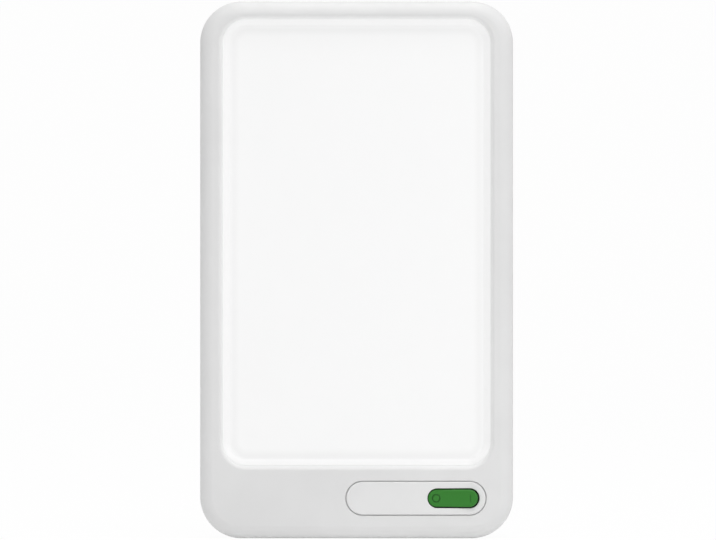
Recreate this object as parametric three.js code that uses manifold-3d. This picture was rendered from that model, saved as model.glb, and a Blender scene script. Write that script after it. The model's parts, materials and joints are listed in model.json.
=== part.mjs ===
// Light therapy lamp, in millimetres, +Z up. X runs to the right seen from the front, Y from front to back.
// A slim upright housing holds a deep opal panel, three twin-tube fluorescent lamps in a bent reflector,
// their electronic ballast, a rocker switch in a plate at the foot and a stand leg folded into the back.

import * as THREE from 'three';
import { mergeVertices } from 'three/addons/utils/BufferGeometryUtils.js';
import Module from 'manifold-3d';

const wasm = await Module();
wasm.setup();

// General fits
const fit = 0.3;
const overrun = 2;
const cornerSegments = 8;
const roundSides = 12;
const shaftSides = 8;

// Twin-tube lamps, their bases, holders and clips
const lampCount = 3;
const lampPitch = 54;
const lampSideRoom = 29;
const lampTopRoom = 22;
const tubeRadius = 8.75;
const tubeSpacing = 20.5;
const tubeLength = 287.7;
const tubeSides = 12;
const bendSteps = 8;
const lampBaseLow = 18.3;
const lampBaseHeight = 22;
const lampBaseWidth = tubeSpacing + 2 * tubeRadius;
const lampBaseMargin = 1.25;
const lampBaseBackGap = 1;
const lampBaseDepth = 2 * (tubeRadius + lampBaseMargin);
const lampBaseRound = 7;
const lampPinRadius = 1.1;
const lampPinLength = 8;
const lampPinPitch = 8;
const holderLow = 5;
const holderSideMargin = 2;
const holderFrontGap = 1.5;
const holderRound = 3;
const holderFloor = 2;
const clipDrop = 28;
const clipHeight = 8;
const clipThickness = 0.6;
const clipGrip = 5;
const clipFlare = 2.4;
const tubeTop = lampBaseLow + lampBaseHeight + tubeLength;

// Control plate and rocker switch
const plateZ = 26.4;
const plateLength = 90.7;
const plateHeight = 21.5;
const plateEndInset = 18;
const plateGap = 0.55;
const plateProud = 0.5;
const plateSeat = 1.7;
const plateEdge = 0.45;
const padMargin = 3;
const padDepth = 5;
const rockerLength = 32.4;
const rockerHeight = 11.4;
const rockerEndInset = 4.8;
const rockerGap = 0.75;
const rockerPivotDepth = 3.4;
const rockerRise = 4.2;
const rockerDish = 1.2;
const rockerSkirt = 1.5;
const rockerWall = 1.6;
const rockerFace = 2;
const rockerArcSteps = 10;
const rockerTiltDegrees = 6;
const trunnionRadius = 1.2;
const trunnionLength = 1.6;
const stemRadius = 1.6;
const stemReach = 6;
const switchWall = 1.6;
const switchFlange = 1.3;
const flangeThickness = 1.2;
const switchPocketDepth = 4;
const leverPocketLength = 24;
const leverPocketHeight = 8;
const leverPocketDepth = 9.6;
const switchFloor = 1.6;
const switchBack = rockerPivotDepth + leverPocketDepth + switchFloor;

// Contact lever under the rocker's stem, and the terminals behind the switch
const leverLength = 18;
const leverWidth = 5;
const leverThickness = 0.8;
const leverPivotDrop = 7;
const leverRollRadius = 0.9;
const leverTiltDegrees = 4.8;
const studRadius = 1.3;
const studHeight = 0.5;
const fulcrumWidth = 3;
const terminalCount = 3;
const terminalPitch = 9;
const terminalWidth = 4.8;
const terminalThickness = 0.8;
const terminalLength = 6.2;
const terminalEyeRadius = 0.9;
const terminalRoom = 2.7;

// Ballast board and what stands on it
const boardEndInset = 42;
const boardTopInset = 28;
const boardThickness = 1.6;
const boardStandOff = 1.3;
const boardScrewEdge = 4;
const boardScrewInset = 6;
const chokeCount = 3;
const chokePitch = 34;
const chokeRise = 25;
const chokeWidth = 20;
const chokeHeight = 16;
const chokeTall = 10;
const chokeRound = 0.6;
const chokeGap = 1.7;
const windingWidth = 13;
const windingHeight = 21;
const windingInset = 1.5;
const upperRowDrop = 28;
const capacitorX = -32;
const capacitorRadius = 5;
const capacitorLength = 26;
const filterX = 4;
const filterOuter = 9;
const filterInner = 4;
const filterTall = 8;
const filterRound = 1.5;
const sinkX = 38;
const sinkWidth = 26;
const sinkHeight = 24;
const sinkBase = 1.6;
const sinkTall = 9;
const finCount = 6;
const finThickness = 1.2;
const blockRise = 6;
const blockPoles = 6;
const polePitch = 6;
const blockHeight = 9;
const blockTall = 9;
const poleHoleRadius = 1.4;
const poleHoleDepth = 5;
const fuseX = -32;
const fuseGap = 6.9;
const fuseRadius = 2.2;
const fuseCapRadius = 2.6;
const fuseCapLength = 5;
const fuseLength = 20;
const capacitorGap = 9.4;
const fuseRise = chokeRise + windingHeight / 2 + fuseGap + fuseCapRadius;
const boardHeight = fuseRise + fuseCapRadius + capacitorGap + capacitorRadius + upperRowDrop;

// Housing: its width, height and depth follow from what it holds
const cornerRadius = 27;
const wall = 2.6;
const partingDepth = 36;
const partingGap = 0.5;
const sheetThickness = 0.8;
const bodyWidth = (lampCount - 1) * lampPitch + lampBaseWidth + 2 * lampSideRoom;
const bodyHeight = tubeTop + lampTopRoom;
const holderFront = switchBack + terminalLength + terminalRoom;
const lampDepth = holderFront + holderFrontGap + lampBaseDepth / 2;
const trayDepth = lampDepth + lampBaseDepth / 2 + lampBaseBackGap;
const trayBack = trayDepth + sheetThickness;
const boardFront = trayBack + chokeGap + chokeTall;
const boardBack = boardFront + boardThickness;
const backInner = boardBack + boardStandOff;
const bodyDepth = backInner + wall;
const partingFace = partingDepth + partingGap;

// Front frame: crowned rim, rolled lip round the panel
const crownWidth = 8.4;
const crownDepth = 7;
const crownSteps = 5;
const faceThickness = 3;
const innerShoulderDepth = 9;
const innerShoulderSteps = 3;
const lipStartSide = 12;
const lipStartTop = 8.7;
const lipStartBottom = 44.5;
const lipWidth = 2.8;
const lipDrop = 2.6;
const lipSteps = 4;
const lipRadius = 15.6;

// Rear cover: drafted shell with a rounded edge and a tongue inside the front frame
const backInset = 15;
const baseInset = 9;
const backRound = 14;
const backRoundSteps = 4;
const backDraft = 0.6;
const tongueWall = 1.5;
const tongueReach = 3;
const tongueRoot = 3;

// Opal panel: a dish whose rim tucks under the lip
const panelDepth = 7;
const panelThickness = 2;
const bevelWidth = 4.9;
const rimWidth = 2.9;
const rimRoll = 0.6;
const bevelShares = [[0.12, 0.1], [0.75, 0.86], [1, 1]];

// Reflector tray and the bracket that carries the holders
const trayRimOuter = 3;
const trayRimInner = 0.2;
const trayLampGap = 2.2;
const trayTopSlope = 6;
const trayBaseSlope = 3.5;
const ridgeSideGap = 1.1;
const ridgeHeight = 9;
const ridgeEndGap = 14;
const lampHoleMargin = 1.2;
const bracketEndInset = 23;
const bracketLow = 4;
const bracketHigh = 43;
const bracketFold = 6;

// Screws: pan heads with plain shanks
const coverScrewInset = 12;
const coverScrewLow = 40;
const coverScrewDrop = 32;
const coverSeatDepth = 5.6;
const coverSeatThickness = 4;
const coverBossRadius = 3.6;
const coverBossStart = 14;
const coverRibThickness = 2;
const coverRibGap = 1.5;
const coverPostRadius = 5.2;
const coverHeadRadius = 3.4;
const coverHeadHeight = 2.4;
const coverShankRadius = 1.6;
const coverShankLength = 16;
const smallHeadRadius = 2.6;
const smallHeadHeight = 1.4;
const smallShankRadius = 1.2;
const smallShankLength = 8;
const boardShankLength = 3.6;
const screwTipGap = 1;
const smallPostRadius = 3.4;
const trayScrewEdge = 7.2;
const trayScrewLow = 110;
const trayScrewDrop = 78;
const bracketScrewZ = 22;

// Fold-out stand
const standHalfWidth = 40;
const standHingeDrop = 27;
const standTipZ = 15;
const standThickness = 5;
const standSink = 0.7;
const standCorner = 12;
const standGap = 0.8;
const standFloorGap = 0.6;
const standSkin = 2;
const standRimWidth = 5;
const standRibWidth = 1.8;
const standRibColumns = 3;
const standCellSegments = 1;
const standRibRows = 5;
const standPadHalfWidth = 24;
const standPadThickness = 1.5;
const hingePinRadius = 1.1;
const hingePinLength = 11;
const hingePinInLeg = 5;
const hingeBlockWidth = 7.6;
const hingeBlockHeight = 12;
const recessWall = 2.4;
const thumbHalfWidth = 15;
const thumbDepth = 3.2;
const thumbReach = 7;
const thumbRound = 5;
const thumbWall = 1.6;

// Vents in the back
const ventWidth = 3;
const ventPitch = 8;
const ventEndSegments = 2;
const topVentLength = 28;
const topVentDrop = 23;
const topVentEndInset = 50;
const lowVentLength = 22;
const lowVentRise = 62;
const lowVentEndInset = 22;

// Mains inlet
const inletEndInset = 30;
const inletZ = 26;
const inletWidth = 24;
const inletHeight = 14;
const inletDepth = 13.6;
const inletSink = 0.4;
const inletRound = 1.5;
const cavityWidth = 17.2;
const cavityHeight = 8.8;
const cavityDepth = 9;
const inletPinSpacing = 8.6;
const inletPinRadius = 1.2;
const inletPinLength = 8;

// Finishes
function finish(color, roughness, metalness) {
  return new THREE.MeshStandardMaterial({ color, roughness, metalness, flatShading: true });
}

const housingWhite = finish(0xdedede, 0.45, 0);
const coverWhite = finish(0xd8d8d8, 0.5, 0);
const plateWhite = finish(0xe2e2e2, 0.4, 0);
const opal = finish(0xf7f7f7, 0.35, 0);
const switchGreen = finish(0x427c3e, 0.3, 0);
const blackPlastic = finish(0x2b2b2c, 0.55, 0);
const sheetMetal = finish(0xc4c6c8, 0.3, 1);
const steel = finish(0xa8aaad, 0.35, 1);
const brass = finish(0xc2a25a, 0.35, 1);
const tubeGlass = finish(0xf3f4f2, 0.25, 0);
const lampPlastic = finish(0xe9e9e4, 0.5, 0);
const boardGreen = finish(0x3d6b4a, 0.6, 0);
const ferrite = finish(0x3a3b3d, 0.6, 0);
const capacitorBlue = finish(0x2c4463, 0.4, 0);
const blockGreen = finish(0x5a8a5c, 0.5, 0);
const rubber = finish(0x3b3c3e, 0.85, 0);

// Closed bodies, booleans and basic forms

// Indexed geometry from points and triangles, turned so that its faces look out.
function closedBody(points, triangles) {
  let volume = 0;
  for (const [a, b, c] of triangles) {
    volume += points[a].dot(points[b].clone().cross(points[c]));
  }
  const faces = volume < 0 ? triangles.map(([a, b, c]) => [a, c, b]) : triangles;
  const geometry = new THREE.BufferGeometry().setFromPoints(points);
  geometry.setIndex(faces.flat());
  return geometry;
}

// Triangles between consecutive rings of equal count; closed joins the last ring to the first.
function loft(rings, closed) {
  const count = rings[0].length;
  const points = rings.flat();
  const triangles = [];
  const spans = closed ? rings.length : rings.length - 1;
  for (let i = 0; i < spans; i++) {
    const here = i * count;
    const next = ((i + 1) % rings.length) * count;
    for (let j = 0; j < count; j++) {
      const k = (j + 1) % count;
      triangles.push([here + j, here + k, next + k], [here + j, next + k, next + j]);
    }
  }
  if (!closed) {
    const last = (rings.length - 1) * count;
    for (let j = 1; j < count - 1; j++) {
      triangles.push([0, j + 1, j], [last, last + j, last + j + 1]);
    }
  }
  return closedBody(points, triangles);
}

function toSolid(geometry) {
  const bare = geometry.clone();
  bare.deleteAttribute('normal');
  bare.deleteAttribute('uv');
  const merged = mergeVertices(bare);
  return new wasm.Manifold(new wasm.Mesh({
    numProp: 3,
    vertProperties: new Float32Array(merged.attributes.position.array),
    triVerts: new Uint32Array(merged.index.array),
  }));
}

function toGeometry(solid) {
  const mesh = solid.getMesh();
  const geometry = new THREE.BufferGeometry();
  geometry.setAttribute('position', new THREE.BufferAttribute(new Float32Array(mesh.vertProperties), mesh.numProp));
  geometry.setIndex(new THREE.BufferAttribute(new Uint32Array(mesh.triVerts), 1));
  return geometry;
}

function joined(...geometries) {
  return geometries.map(toSolid).reduce((sum, solid) => sum.add(solid));
}

function cutBy(solid, cutters) {
  return cutters.map(toSolid).reduce((rest, cutter) => rest.subtract(cutter), solid);
}

// Rounded rectangle of the housing's plan, inset from its four sides, at one depth.
function ring(side, top, base, radius, depth) {
  const halfWidth = bodyWidth / 2 - side - radius;
  const high = bodyHeight - top - radius;
  const low = base + radius;
  const centres = [[halfWidth, high], [-halfWidth, high], [-halfWidth, low], [halfWidth, low]];
  const points = [];
  centres.forEach(([x, z], quarter) => {
    for (let i = 0; i <= cornerSegments; i++) {
      const angle = (quarter + i / cornerSegments) * Math.PI / 2;
      points.push(new THREE.Vector3(x + radius * Math.cos(angle), depth, z + radius * Math.sin(angle)));
    }
  });
  return points;
}

function evenRing(inset, depth) {
  return ring(inset, inset, inset, cornerRadius - inset, depth);
}

// Ring that follows the lip's edge, moved inward by the given distance.
function lipRing(inward, depth) {
  const side = lipStartSide + lipWidth + inward;
  const top = lipStartTop + lipWidth + inward;
  const base = lipStartBottom + lipWidth + inward;
  return ring(side, top, base, lipRadius - inward, depth);
}

function obround(length, height, segments = cornerSegments) {
  const shape = new THREE.Shape();
  const radius = height / 2;
  const reach = length / 2 - radius;
  for (let i = 0; i <= 2 * segments; i++) {
    const angle = (i / (2 * segments) - 1 / 2) * Math.PI;
    const x = reach + radius * Math.cos(angle);
    const y = radius * Math.sin(angle);
    if (i === 0) shape.moveTo(x, y);
    else shape.lineTo(x, y);
  }
  for (let i = 0; i <= 2 * segments; i++) {
    const angle = (i / (2 * segments) + 1 / 2) * Math.PI;
    shape.lineTo(-reach + radius * Math.cos(angle), radius * Math.sin(angle));
  }
  shape.closePath();
  return shape;
}

function roundedRect(width, height, radius, segments = 3) {
  const shape = new THREE.Shape();
  const corners = [[1, 1], [-1, 1], [-1, -1], [1, -1]];
  corners.forEach(([sx, sy], quarter) => {
    for (let i = 0; i <= segments; i++) {
      const angle = (quarter + i / segments) * Math.PI / 2;
      const x = sx * (width / 2 - radius) + radius * Math.cos(angle);
      const y = sy * (height / 2 - radius) + radius * Math.sin(angle);
      if (quarter === 0 && i === 0) shape.moveTo(x, y);
      else shape.lineTo(x, y);
    }
  });
  shape.closePath();
  return shape;
}

// A shape in the plan of the front, run from one depth to another about a centre.
function through(shape, x, z, from, to) {
  const geometry = new THREE.ExtrudeGeometry(shape, { depth: to - from, bevelEnabled: false });
  return geometry.translate(0, 0, -to).rotateX(Math.PI / 2).translate(x, 0, z);
}

function boxBetween(x0, x1, y0, y1, z0, z1) {
  const geometry = new THREE.BoxGeometry(x1 - x0, y1 - y0, z1 - z0);
  return geometry.translate((x0 + x1) / 2, (y0 + y1) / 2, (z0 + z1) / 2);
}

function rodAlongX(radius, x0, x1, y, z, sides = shaftSides) {
  const geometry = new THREE.CylinderGeometry(radius, radius, x1 - x0, sides);
  return geometry.rotateZ(Math.PI / 2).translate((x0 + x1) / 2, y, z);
}

function rodAlongY(radius, x, z, y0, y1, sides = shaftSides) {
  const geometry = new THREE.CylinderGeometry(radius, radius, y1 - y0, sides);
  return geometry.translate(x, (y0 + y1) / 2, z);
}

function rodAlongZ(radius, x, y, z0, z1, sides = shaftSides) {
  const geometry = new THREE.CylinderGeometry(radius, radius, z1 - z0, sides);
  return geometry.rotateX(Math.PI / 2).translate(x, y, (z0 + z1) / 2);
}

function piece(name, geometry, material) {
  const flat = geometry.index ? geometry.toNonIndexed() : geometry;
  flat.computeVertexNormals();
  const mesh = new THREE.Mesh(flat, material);
  mesh.name = name;
  return mesh;
}

function spread(count, pitch) {
  return Array.from({ length: count }, (_, i) => (i - (count - 1) / 2) * pitch);
}

// Shares of a quarter ellipse's two half axes, from one end to the other.
function quarterShares(steps) {
  return Array.from({ length: steps + 1 }, (_, i) => {
    const angle = i / steps * Math.PI / 2;
    return [Math.sin(angle), 1 - Math.cos(angle)];
  });
}

// Places shared by several pieces
const plateX = bodyWidth / 2 - plateEndInset - plateLength / 2;
const rockerX = plateX + plateLength / 2 - rockerEndInset - rockerLength / 2;
const inletX = inletEndInset - bodyWidth / 2;
const lampPlaces = spread(lampCount, lampPitch);
const ridgePlaces = spread(lampCount - 1, lampPitch);
const lampBaseTop = lampBaseLow + lampBaseHeight;
const holderHigh = lampBaseLow - fit;
const clipFloor = trayDepth - clipThickness;
const clipHalfWidth = tubeSpacing / 2 + tubeRadius + fit + clipThickness;
const trayHalfWidth = bodyWidth / 2 - lampSideRoom + trayLampGap;
const traySideSlope = bodyWidth / 2 - lipStartSide - lipWidth - trayHalfWidth;
const boardHalfWidth = bodyWidth / 2 - boardEndInset;
const boardHigh = bodyHeight - boardTopInset;
const boardLow = boardHigh - boardHeight;
const upperRowZ = boardHigh - upperRowDrop;
const coverSeat = bodyDepth - coverSeatDepth;
const coverBossTop = coverSeat - coverSeatThickness;
const coverScrewHigh = bodyHeight - coverScrewDrop;
const coverScrewX = bodyWidth / 2 - coverScrewInset;
const coverScrewHeights = [coverScrewLow, (coverScrewLow + coverScrewHigh) / 2, coverScrewHigh];
const coverScrewPlaces = coverScrewHeights.flatMap((z) => [[-coverScrewX, z], [coverScrewX, z]]);
const trayScrewX = trayHalfWidth - trayScrewEdge;
const trayScrewHeights = [trayScrewLow, bodyHeight - trayScrewDrop];
const trayScrewPlaces = trayScrewHeights.flatMap((z) => [[-trayScrewX, z], [trayScrewX, z]]);
const bracketScrewPlaces = ridgePlaces.map((x) => [x, bracketScrewZ]);
const boardScrewX = boardHalfWidth - boardScrewEdge;
const boardScrewPlaces = [
  [-boardScrewX, boardHigh - boardScrewInset],
  [boardScrewX, boardLow + boardScrewInset],
];
const standHingeZ = boardLow - standHingeDrop;
const standFront = bodyDepth - standSink - standThickness;
const standBack = bodyDepth - standSink;
const hingeDepth = (standFront + standBack) / 2;
const recessFloor = standFront - standFloorGap;
const recessInner = recessFloor - recessWall;
const recessHalfWidth = standHalfWidth + standGap;
const recessTop = standHingeZ + standThickness / 2 + standGap;
const recessLow = standTipZ - standGap;
const topVentHigh = bodyHeight - topVentDrop;
const topVentSteps = Math.floor((bodyWidth / 2 - topVentEndInset) / ventPitch);
const lowVentOuter = bodyWidth / 2 - lowVentEndInset;
const lowVentSteps = Math.floor((lowVentOuter - recessHalfWidth - hingeBlockWidth - ventWidth) / ventPitch);
const switchHoleLength = rockerLength + 2 * rockerGap;
const switchHoleHeight = rockerHeight + 2 * rockerGap;
const switchLength = switchHoleLength + 2 * switchWall;
const switchHeight = switchHoleHeight + 2 * (switchWall + fit);
const flangeBack = plateSeat + flangeThickness;

// Front frame: the rim swept once round the housing, a pad for the control plate, bosses and pilot holes.
function frontFrame() {
  const rings = [evenRing(0, partingDepth)];
  quarterShares(crownSteps).forEach(([rise, inset]) => rings.push(
    evenRing(inset * crownWidth, (1 - rise) * crownDepth),
  ));
  quarterShares(lipSteps).forEach(([inward, drop]) => rings.push(
    lipRing((inward - 1) * lipWidth, drop * lipDrop),
  ));
  rings.push(lipRing(0, faceThickness));
  quarterShares(innerShoulderSteps).forEach(([outward, drop]) => rings.push(evenRing(
    crownWidth - outward * (crownWidth - wall),
    faceThickness + drop * (innerShoulderDepth - faceThickness),
  )));
  rings.push(evenRing(wall, partingDepth));

  const padShape = obround(plateLength + 2 * padMargin, plateHeight + 2 * padMargin);
  const plateHole = obround(plateLength + 2 * plateGap, plateHeight + 2 * plateGap);
  const flangeHole = obround(
    switchLength + 2 * (switchFlange + fit),
    switchHeight + 2 * (switchFlange + fit),
  );
  const switchHole = obround(switchLength + 2 * fit, switchHeight + 2 * fit);
  const bosses = coverScrewPlaces.flatMap(([x, z]) => {
    const edge = Math.sign(x) * (bodyWidth / 2 - wall / 2);
    return [
      rodAlongY(coverBossRadius, x, z, coverBossStart, coverBossTop),
      boxBetween(
        Math.min(x, edge), Math.max(x, edge), coverBossStart, partingFace - tongueReach - coverRibGap,
        z - coverRibThickness / 2, z + coverRibThickness / 2,
      ),
    ];
  });
  const pilots = coverScrewPlaces.map(([x, z]) => rodAlongY(
    coverShankRadius + fit, x, z, coverSeat - coverShankLength - screwTipGap, coverBossTop + overrun,
  ));
  const solid = joined(
    loft(rings, true),
    through(padShape, plateX, plateZ, faceThickness / 2, padDepth),
    ...bosses,
  );
  return toGeometry(cutBy(solid, [
    through(plateHole, plateX, plateZ, -overrun, plateSeat),
    through(flangeHole, rockerX, plateZ, 0, flangeBack),
    through(switchHole, rockerX, plateZ, 0, padDepth + overrun),
    ...pilots,
  ]));
}

// Inner edge of the switch flange stays under the plate, so the plate clamps it.
function controlPlate() {
  const shape = obround(plateLength, plateHeight);
  const hole = obround(switchHoleLength, switchHoleHeight);
  const opening = new THREE.Path(hole.getPoints().map((p) => new THREE.Vector2(p.x + rockerX - plateX, p.y)));
  shape.holes.push(opening);
  const geometry = new THREE.ExtrudeGeometry(shape, {
    depth: plateProud + plateSeat - 2 * plateEdge,
    bevelEnabled: true,
    bevelSize: plateEdge,
    bevelThickness: plateEdge,
    bevelOffset: -plateEdge,
    bevelSegments: 1,
  });
  return geometry.translate(0, 0, plateEdge - plateSeat).rotateX(Math.PI / 2).translate(plateX, 0, plateZ);
}

// Opal dish: flat floor, sloping bevel, and a rim that lies behind the lip.
function diffuserPanel() {
  const rimFront = faceThickness + fit;
  const front = [
    lipRing(-rimWidth, rimFront),
    lipRing(-rimRoll, rimFront),
    ...bevelShares.map(([inward, depth]) => lipRing(
      inward * bevelWidth, rimFront + depth * (panelDepth - rimFront),
    )),
  ];
  const back = front.map((points) => points.map((p) => p.clone().setY(p.y + panelThickness)));
  return loft([...front.slice().reverse(), ...back], false);
}

// Rings of the cover's rounded back edge, for its outside or, a wall's thickness in, its inside.
function backEdge(skin) {
  const start = bodyDepth - backRound;
  return quarterShares(backRoundSteps).map(([rise, inset]) => {
    const side = skin + backDraft + inset * (backInset - backDraft - skin);
    const base = skin + inset * (baseInset - skin);
    return ring(side, side, base, cornerRadius - side, start + rise * (backRound - skin));
  });
}

function ventCut(x, low, length) {
  const slot = obround(length, ventWidth, ventEndSegments);
  const cut = through(slot, 0, 0, backInner - overrun, bodyDepth + overrun);
  return cut.rotateY(Math.PI / 2).translate(x, 0, low + length / 2);
}

// Outline shared by the stand leg and its recess: square at the hinge, rounded at the foot.
function legOutline(halfWidth, low, high, corner) {
  const shape = new THREE.Shape();
  shape.moveTo(-halfWidth, high);
  shape.lineTo(-halfWidth, low + corner);
  [-1, 1].forEach((side) => {
    for (let i = 0; i <= cornerSegments; i++) {
      const share = side < 0 ? i / cornerSegments : 1 - i / cornerSegments;
      const angle = share * Math.PI / 2;
      const x = side * (halfWidth - corner + corner * Math.cos(angle));
      shape.lineTo(x, low + corner - corner * Math.sin(angle));
    }
  });
  shape.lineTo(halfWidth, high);
  shape.closePath();
  return shape;
}

// Rear cover: shell, tongue, stand recess and thumb scoop with blocks behind them, posts, vents and openings.
function rearCover() {
  const tongueInset = wall + fit;
  const rings = [...backEdge(0).reverse(), evenRing(0, partingFace)];
  rings.push(evenRing(tongueInset, partingFace));
  rings.push(evenRing(tongueInset, partingFace - tongueReach));
  rings.push(evenRing(tongueInset + tongueWall, partingFace - tongueReach));
  rings.push(evenRing(tongueInset + tongueWall, partingFace + tongueRoot));
  rings.push(...backEdge(wall));

  const recessBlock = boxBetween(
    -recessHalfWidth - recessWall, recessHalfWidth + recessWall, recessInner, bodyDepth - wall / 2,
    recessLow - recessWall, recessTop + recessWall,
  );
  const thumbBlock = boxBetween(
    -thumbHalfWidth - thumbWall, thumbHalfWidth + thumbWall, bodyDepth - thumbDepth - thumbWall, bodyDepth - wall / 2,
    recessLow - thumbReach - thumbWall, recessLow,
  );
  const hingeBlocks = [-1, 1].map((side) => {
    const inner = side * recessHalfWidth;
    const outer = side * (recessHalfWidth + hingeBlockWidth);
    return boxBetween(
      Math.min(inner, outer), Math.max(inner, outer), recessInner, bodyDepth - wall / 2,
      standHingeZ - hingeBlockHeight / 2, standHingeZ + hingeBlockHeight / 2,
    );
  });
  const coverPosts = coverScrewPlaces.map(([x, z]) => rodAlongY(
    coverPostRadius, x, z, coverBossTop, coverSeat + coverHeadHeight,
  ));
  const trayPosts = trayScrewPlaces.map(([x, z]) => rodAlongY(smallPostRadius, x, z, trayBack, backInner + wall / 2));
  const bracketPosts = bracketScrewPlaces.map(([x, z]) => rodAlongY(
    smallPostRadius, x, z, trayBack, recessInner + recessWall / 2,
  ));
  const boardPosts = [-1, 1].flatMap((side) => [boardLow + boardScrewInset, boardHigh - boardScrewInset].map(
    (z) => rodAlongY(smallPostRadius, side * boardScrewX, z, boardBack, backInner + wall / 2),
  ));

  const recess = through(
    legOutline(recessHalfWidth, recessLow, recessTop, standCorner + standGap),
    0, 0, recessFloor, bodyDepth + overrun,
  );
  const thumbGroove = through(
    roundedRect(2 * thumbHalfWidth, 2 * thumbReach, thumbRound),
    0, recessLow, bodyDepth - thumbDepth, bodyDepth + overrun,
  );
  const hingeHoles = [-1, 1].map((side) => {
    const inner = side * (recessHalfWidth - fit);
    const outer = side * (standHalfWidth - hingePinInLeg + hingePinLength + fit);
    return rodAlongX(hingePinRadius + fit, Math.min(inner, outer), Math.max(inner, outer), hingeDepth, standHingeZ);
  });
  const coverHoles = coverScrewPlaces.flatMap(([x, z]) => [
    rodAlongY(coverHeadRadius + fit, x, z, coverSeat, bodyDepth + overrun),
    rodAlongY(coverShankRadius + fit, x, z, coverBossTop - overrun, coverSeat + overrun),
  ]);
  const trayHoles = [...trayScrewPlaces, ...bracketScrewPlaces].map(([x, z]) => rodAlongY(
    smallShankRadius + fit, x, z, trayBack - overrun, trayDepth + smallShankLength + fit,
  ));
  const boardHoles = boardScrewPlaces.map(([x, z]) => rodAlongY(
    smallShankRadius + fit, x, z, boardBack - overrun, boardFront + boardShankLength + fit,
  ));
  const topVents = spread(2 * topVentSteps + 1, ventPitch).map(
    (x) => ventCut(x, topVentHigh - topVentLength, topVentLength),
  );
  const lowVents = [-1, 1].flatMap((side) => Array.from(
    { length: lowVentSteps + 1 },
    (_, i) => ventCut(side * (lowVentOuter - i * ventPitch), lowVentRise, lowVentLength),
  ));
  const inletWindow = through(
    roundedRect(inletWidth + 2 * fit, inletHeight + 2 * fit, inletRound + fit),
    inletX, inletZ, backInner - overrun, bodyDepth + overrun,
  );
  const solid = joined(
    loft(rings, false), recessBlock, thumbBlock, ...hingeBlocks,
    ...coverPosts, ...trayPosts, ...bracketPosts, ...boardPosts,
  );
  return toGeometry(cutBy(solid, [
    recess, thumbGroove, ...hingeHoles, ...coverHoles, ...trayHoles, ...boardHoles,
    ...topVents, ...lowVents, inletWindow,
  ]));
}

// Rocker: obround cap with a dished face, hollow below, on two trunnions, with a stem to the contact lever.
// Modelled about its own pivot and then placed.
function rockerCap() {
  const half = rockerLength / 2;
  const profile = new THREE.Shape();
  profile.moveTo(-half, -rockerSkirt);
  profile.lineTo(half, -rockerSkirt);
  for (let i = 0; i <= rockerArcSteps; i++) {
    const share = 1 - 2 * i / rockerArcSteps;
    profile.lineTo(share * half, rockerRise + rockerDish * share * share);
  }
  profile.closePath();
  const blank = new THREE.ExtrudeGeometry(profile, { depth: rockerHeight, bevelEnabled: false });
  blank.translate(0, 0, -rockerHeight / 2).rotateX(Math.PI);
  const outline = through(
    obround(rockerLength, rockerHeight), 0, 0, -(rockerRise + rockerDish + overrun), rockerSkirt + overrun,
  );
  const hollow = through(
    obround(rockerLength - 2 * rockerWall, rockerHeight - 2 * rockerWall),
    0, 0, rockerFace - rockerRise, rockerSkirt + overrun,
  );
  const trunnions = rodAlongZ(
    trunnionRadius, 0, 0, -rockerHeight / 2 - trunnionLength, rockerHeight / 2 + trunnionLength,
  );
  const stem = rodAlongY(stemRadius, 0, 0, rockerFace / 2 - rockerRise, stemReach);
  const shell = toSolid(blank).intersect(toSolid(outline)).subtract(toSolid(hollow));
  const ends = toSolid(trunnions).subtract(toSolid(hollow));
  return toGeometry(shell.add(ends).add(toSolid(stem)));
}

// Switch body: obround cup with a clamping flange, trunnion slots and a pocket for the contact lever.
function switchBody() {
  const slotHalfHeight = rockerHeight / 2 + trunnionLength + fit;
  const solid = joined(
    through(obround(switchLength, switchHeight), rockerX, plateZ, plateSeat, switchBack),
    through(
      obround(switchLength + 2 * switchFlange, switchHeight + 2 * switchFlange),
      rockerX, plateZ, plateSeat, flangeBack,
    ),
  );
  const bucket = through(
    obround(switchHoleLength, switchHoleHeight),
    rockerX, plateZ, 0, rockerPivotDepth + switchPocketDepth,
  );
  const leverPocket = boxBetween(
    rockerX - leverPocketLength / 2, rockerX + leverPocketLength / 2,
    rockerPivotDepth, rockerPivotDepth + leverPocketDepth,
    plateZ - leverPocketHeight / 2, plateZ + leverPocketHeight / 2,
  );
  const trunnionSeat = rodAlongZ(
    trunnionRadius + fit, rockerX, rockerPivotDepth, plateZ - slotHalfHeight, plateZ + slotHalfHeight,
  );
  const trunnionSlot = boxBetween(
    rockerX - trunnionRadius - fit, rockerX + trunnionRadius + fit, 0, rockerPivotDepth,
    plateZ - slotHalfHeight, plateZ + slotHalfHeight,
  );
  const fulcrumTop = rockerPivotDepth + leverPivotDrop + leverRollRadius + fit;
  const fulcrum = boxBetween(
    rockerX - fulcrumWidth / 2, rockerX + fulcrumWidth / 2, fulcrumTop, switchBack - switchFloor / 2,
    plateZ - leverWidth / 2, plateZ + leverWidth / 2,
  );
  return toGeometry(cutBy(solid, [bucket, leverPocket, trunnionSeat, trunnionSlot]).add(toSolid(fulcrum)));
}

// Contact lever about its own pivot: a blade on a rolled fulcrum with a stud under each end.
function contactLever() {
  const blade = boxBetween(
    -leverLength / 2, leverLength / 2, -leverThickness / 2, leverThickness / 2, -leverWidth / 2, leverWidth / 2,
  );
  const roll = rodAlongZ(leverRollRadius, 0, 0, -leverWidth / 2, leverWidth / 2);
  const studs = [-1, 1].map((side) => rodAlongY(
    studRadius, side * (leverLength / 2 - studRadius), 0, 0, leverThickness / 2 + studHeight,
  ));
  return toGeometry(joined(blade, roll, ...studs));
}

function switchTerminal() {
  const blade = boxBetween(
    -terminalWidth / 2, terminalWidth / 2, 0, terminalLength, -terminalThickness / 2, terminalThickness / 2,
  );
  const eye = rodAlongZ(
    terminalEyeRadius, 0, terminalLength - terminalWidth / 2, -terminalThickness, terminalThickness,
  );
  return toGeometry(cutBy(toSolid(blade), [eye]));
}

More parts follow.
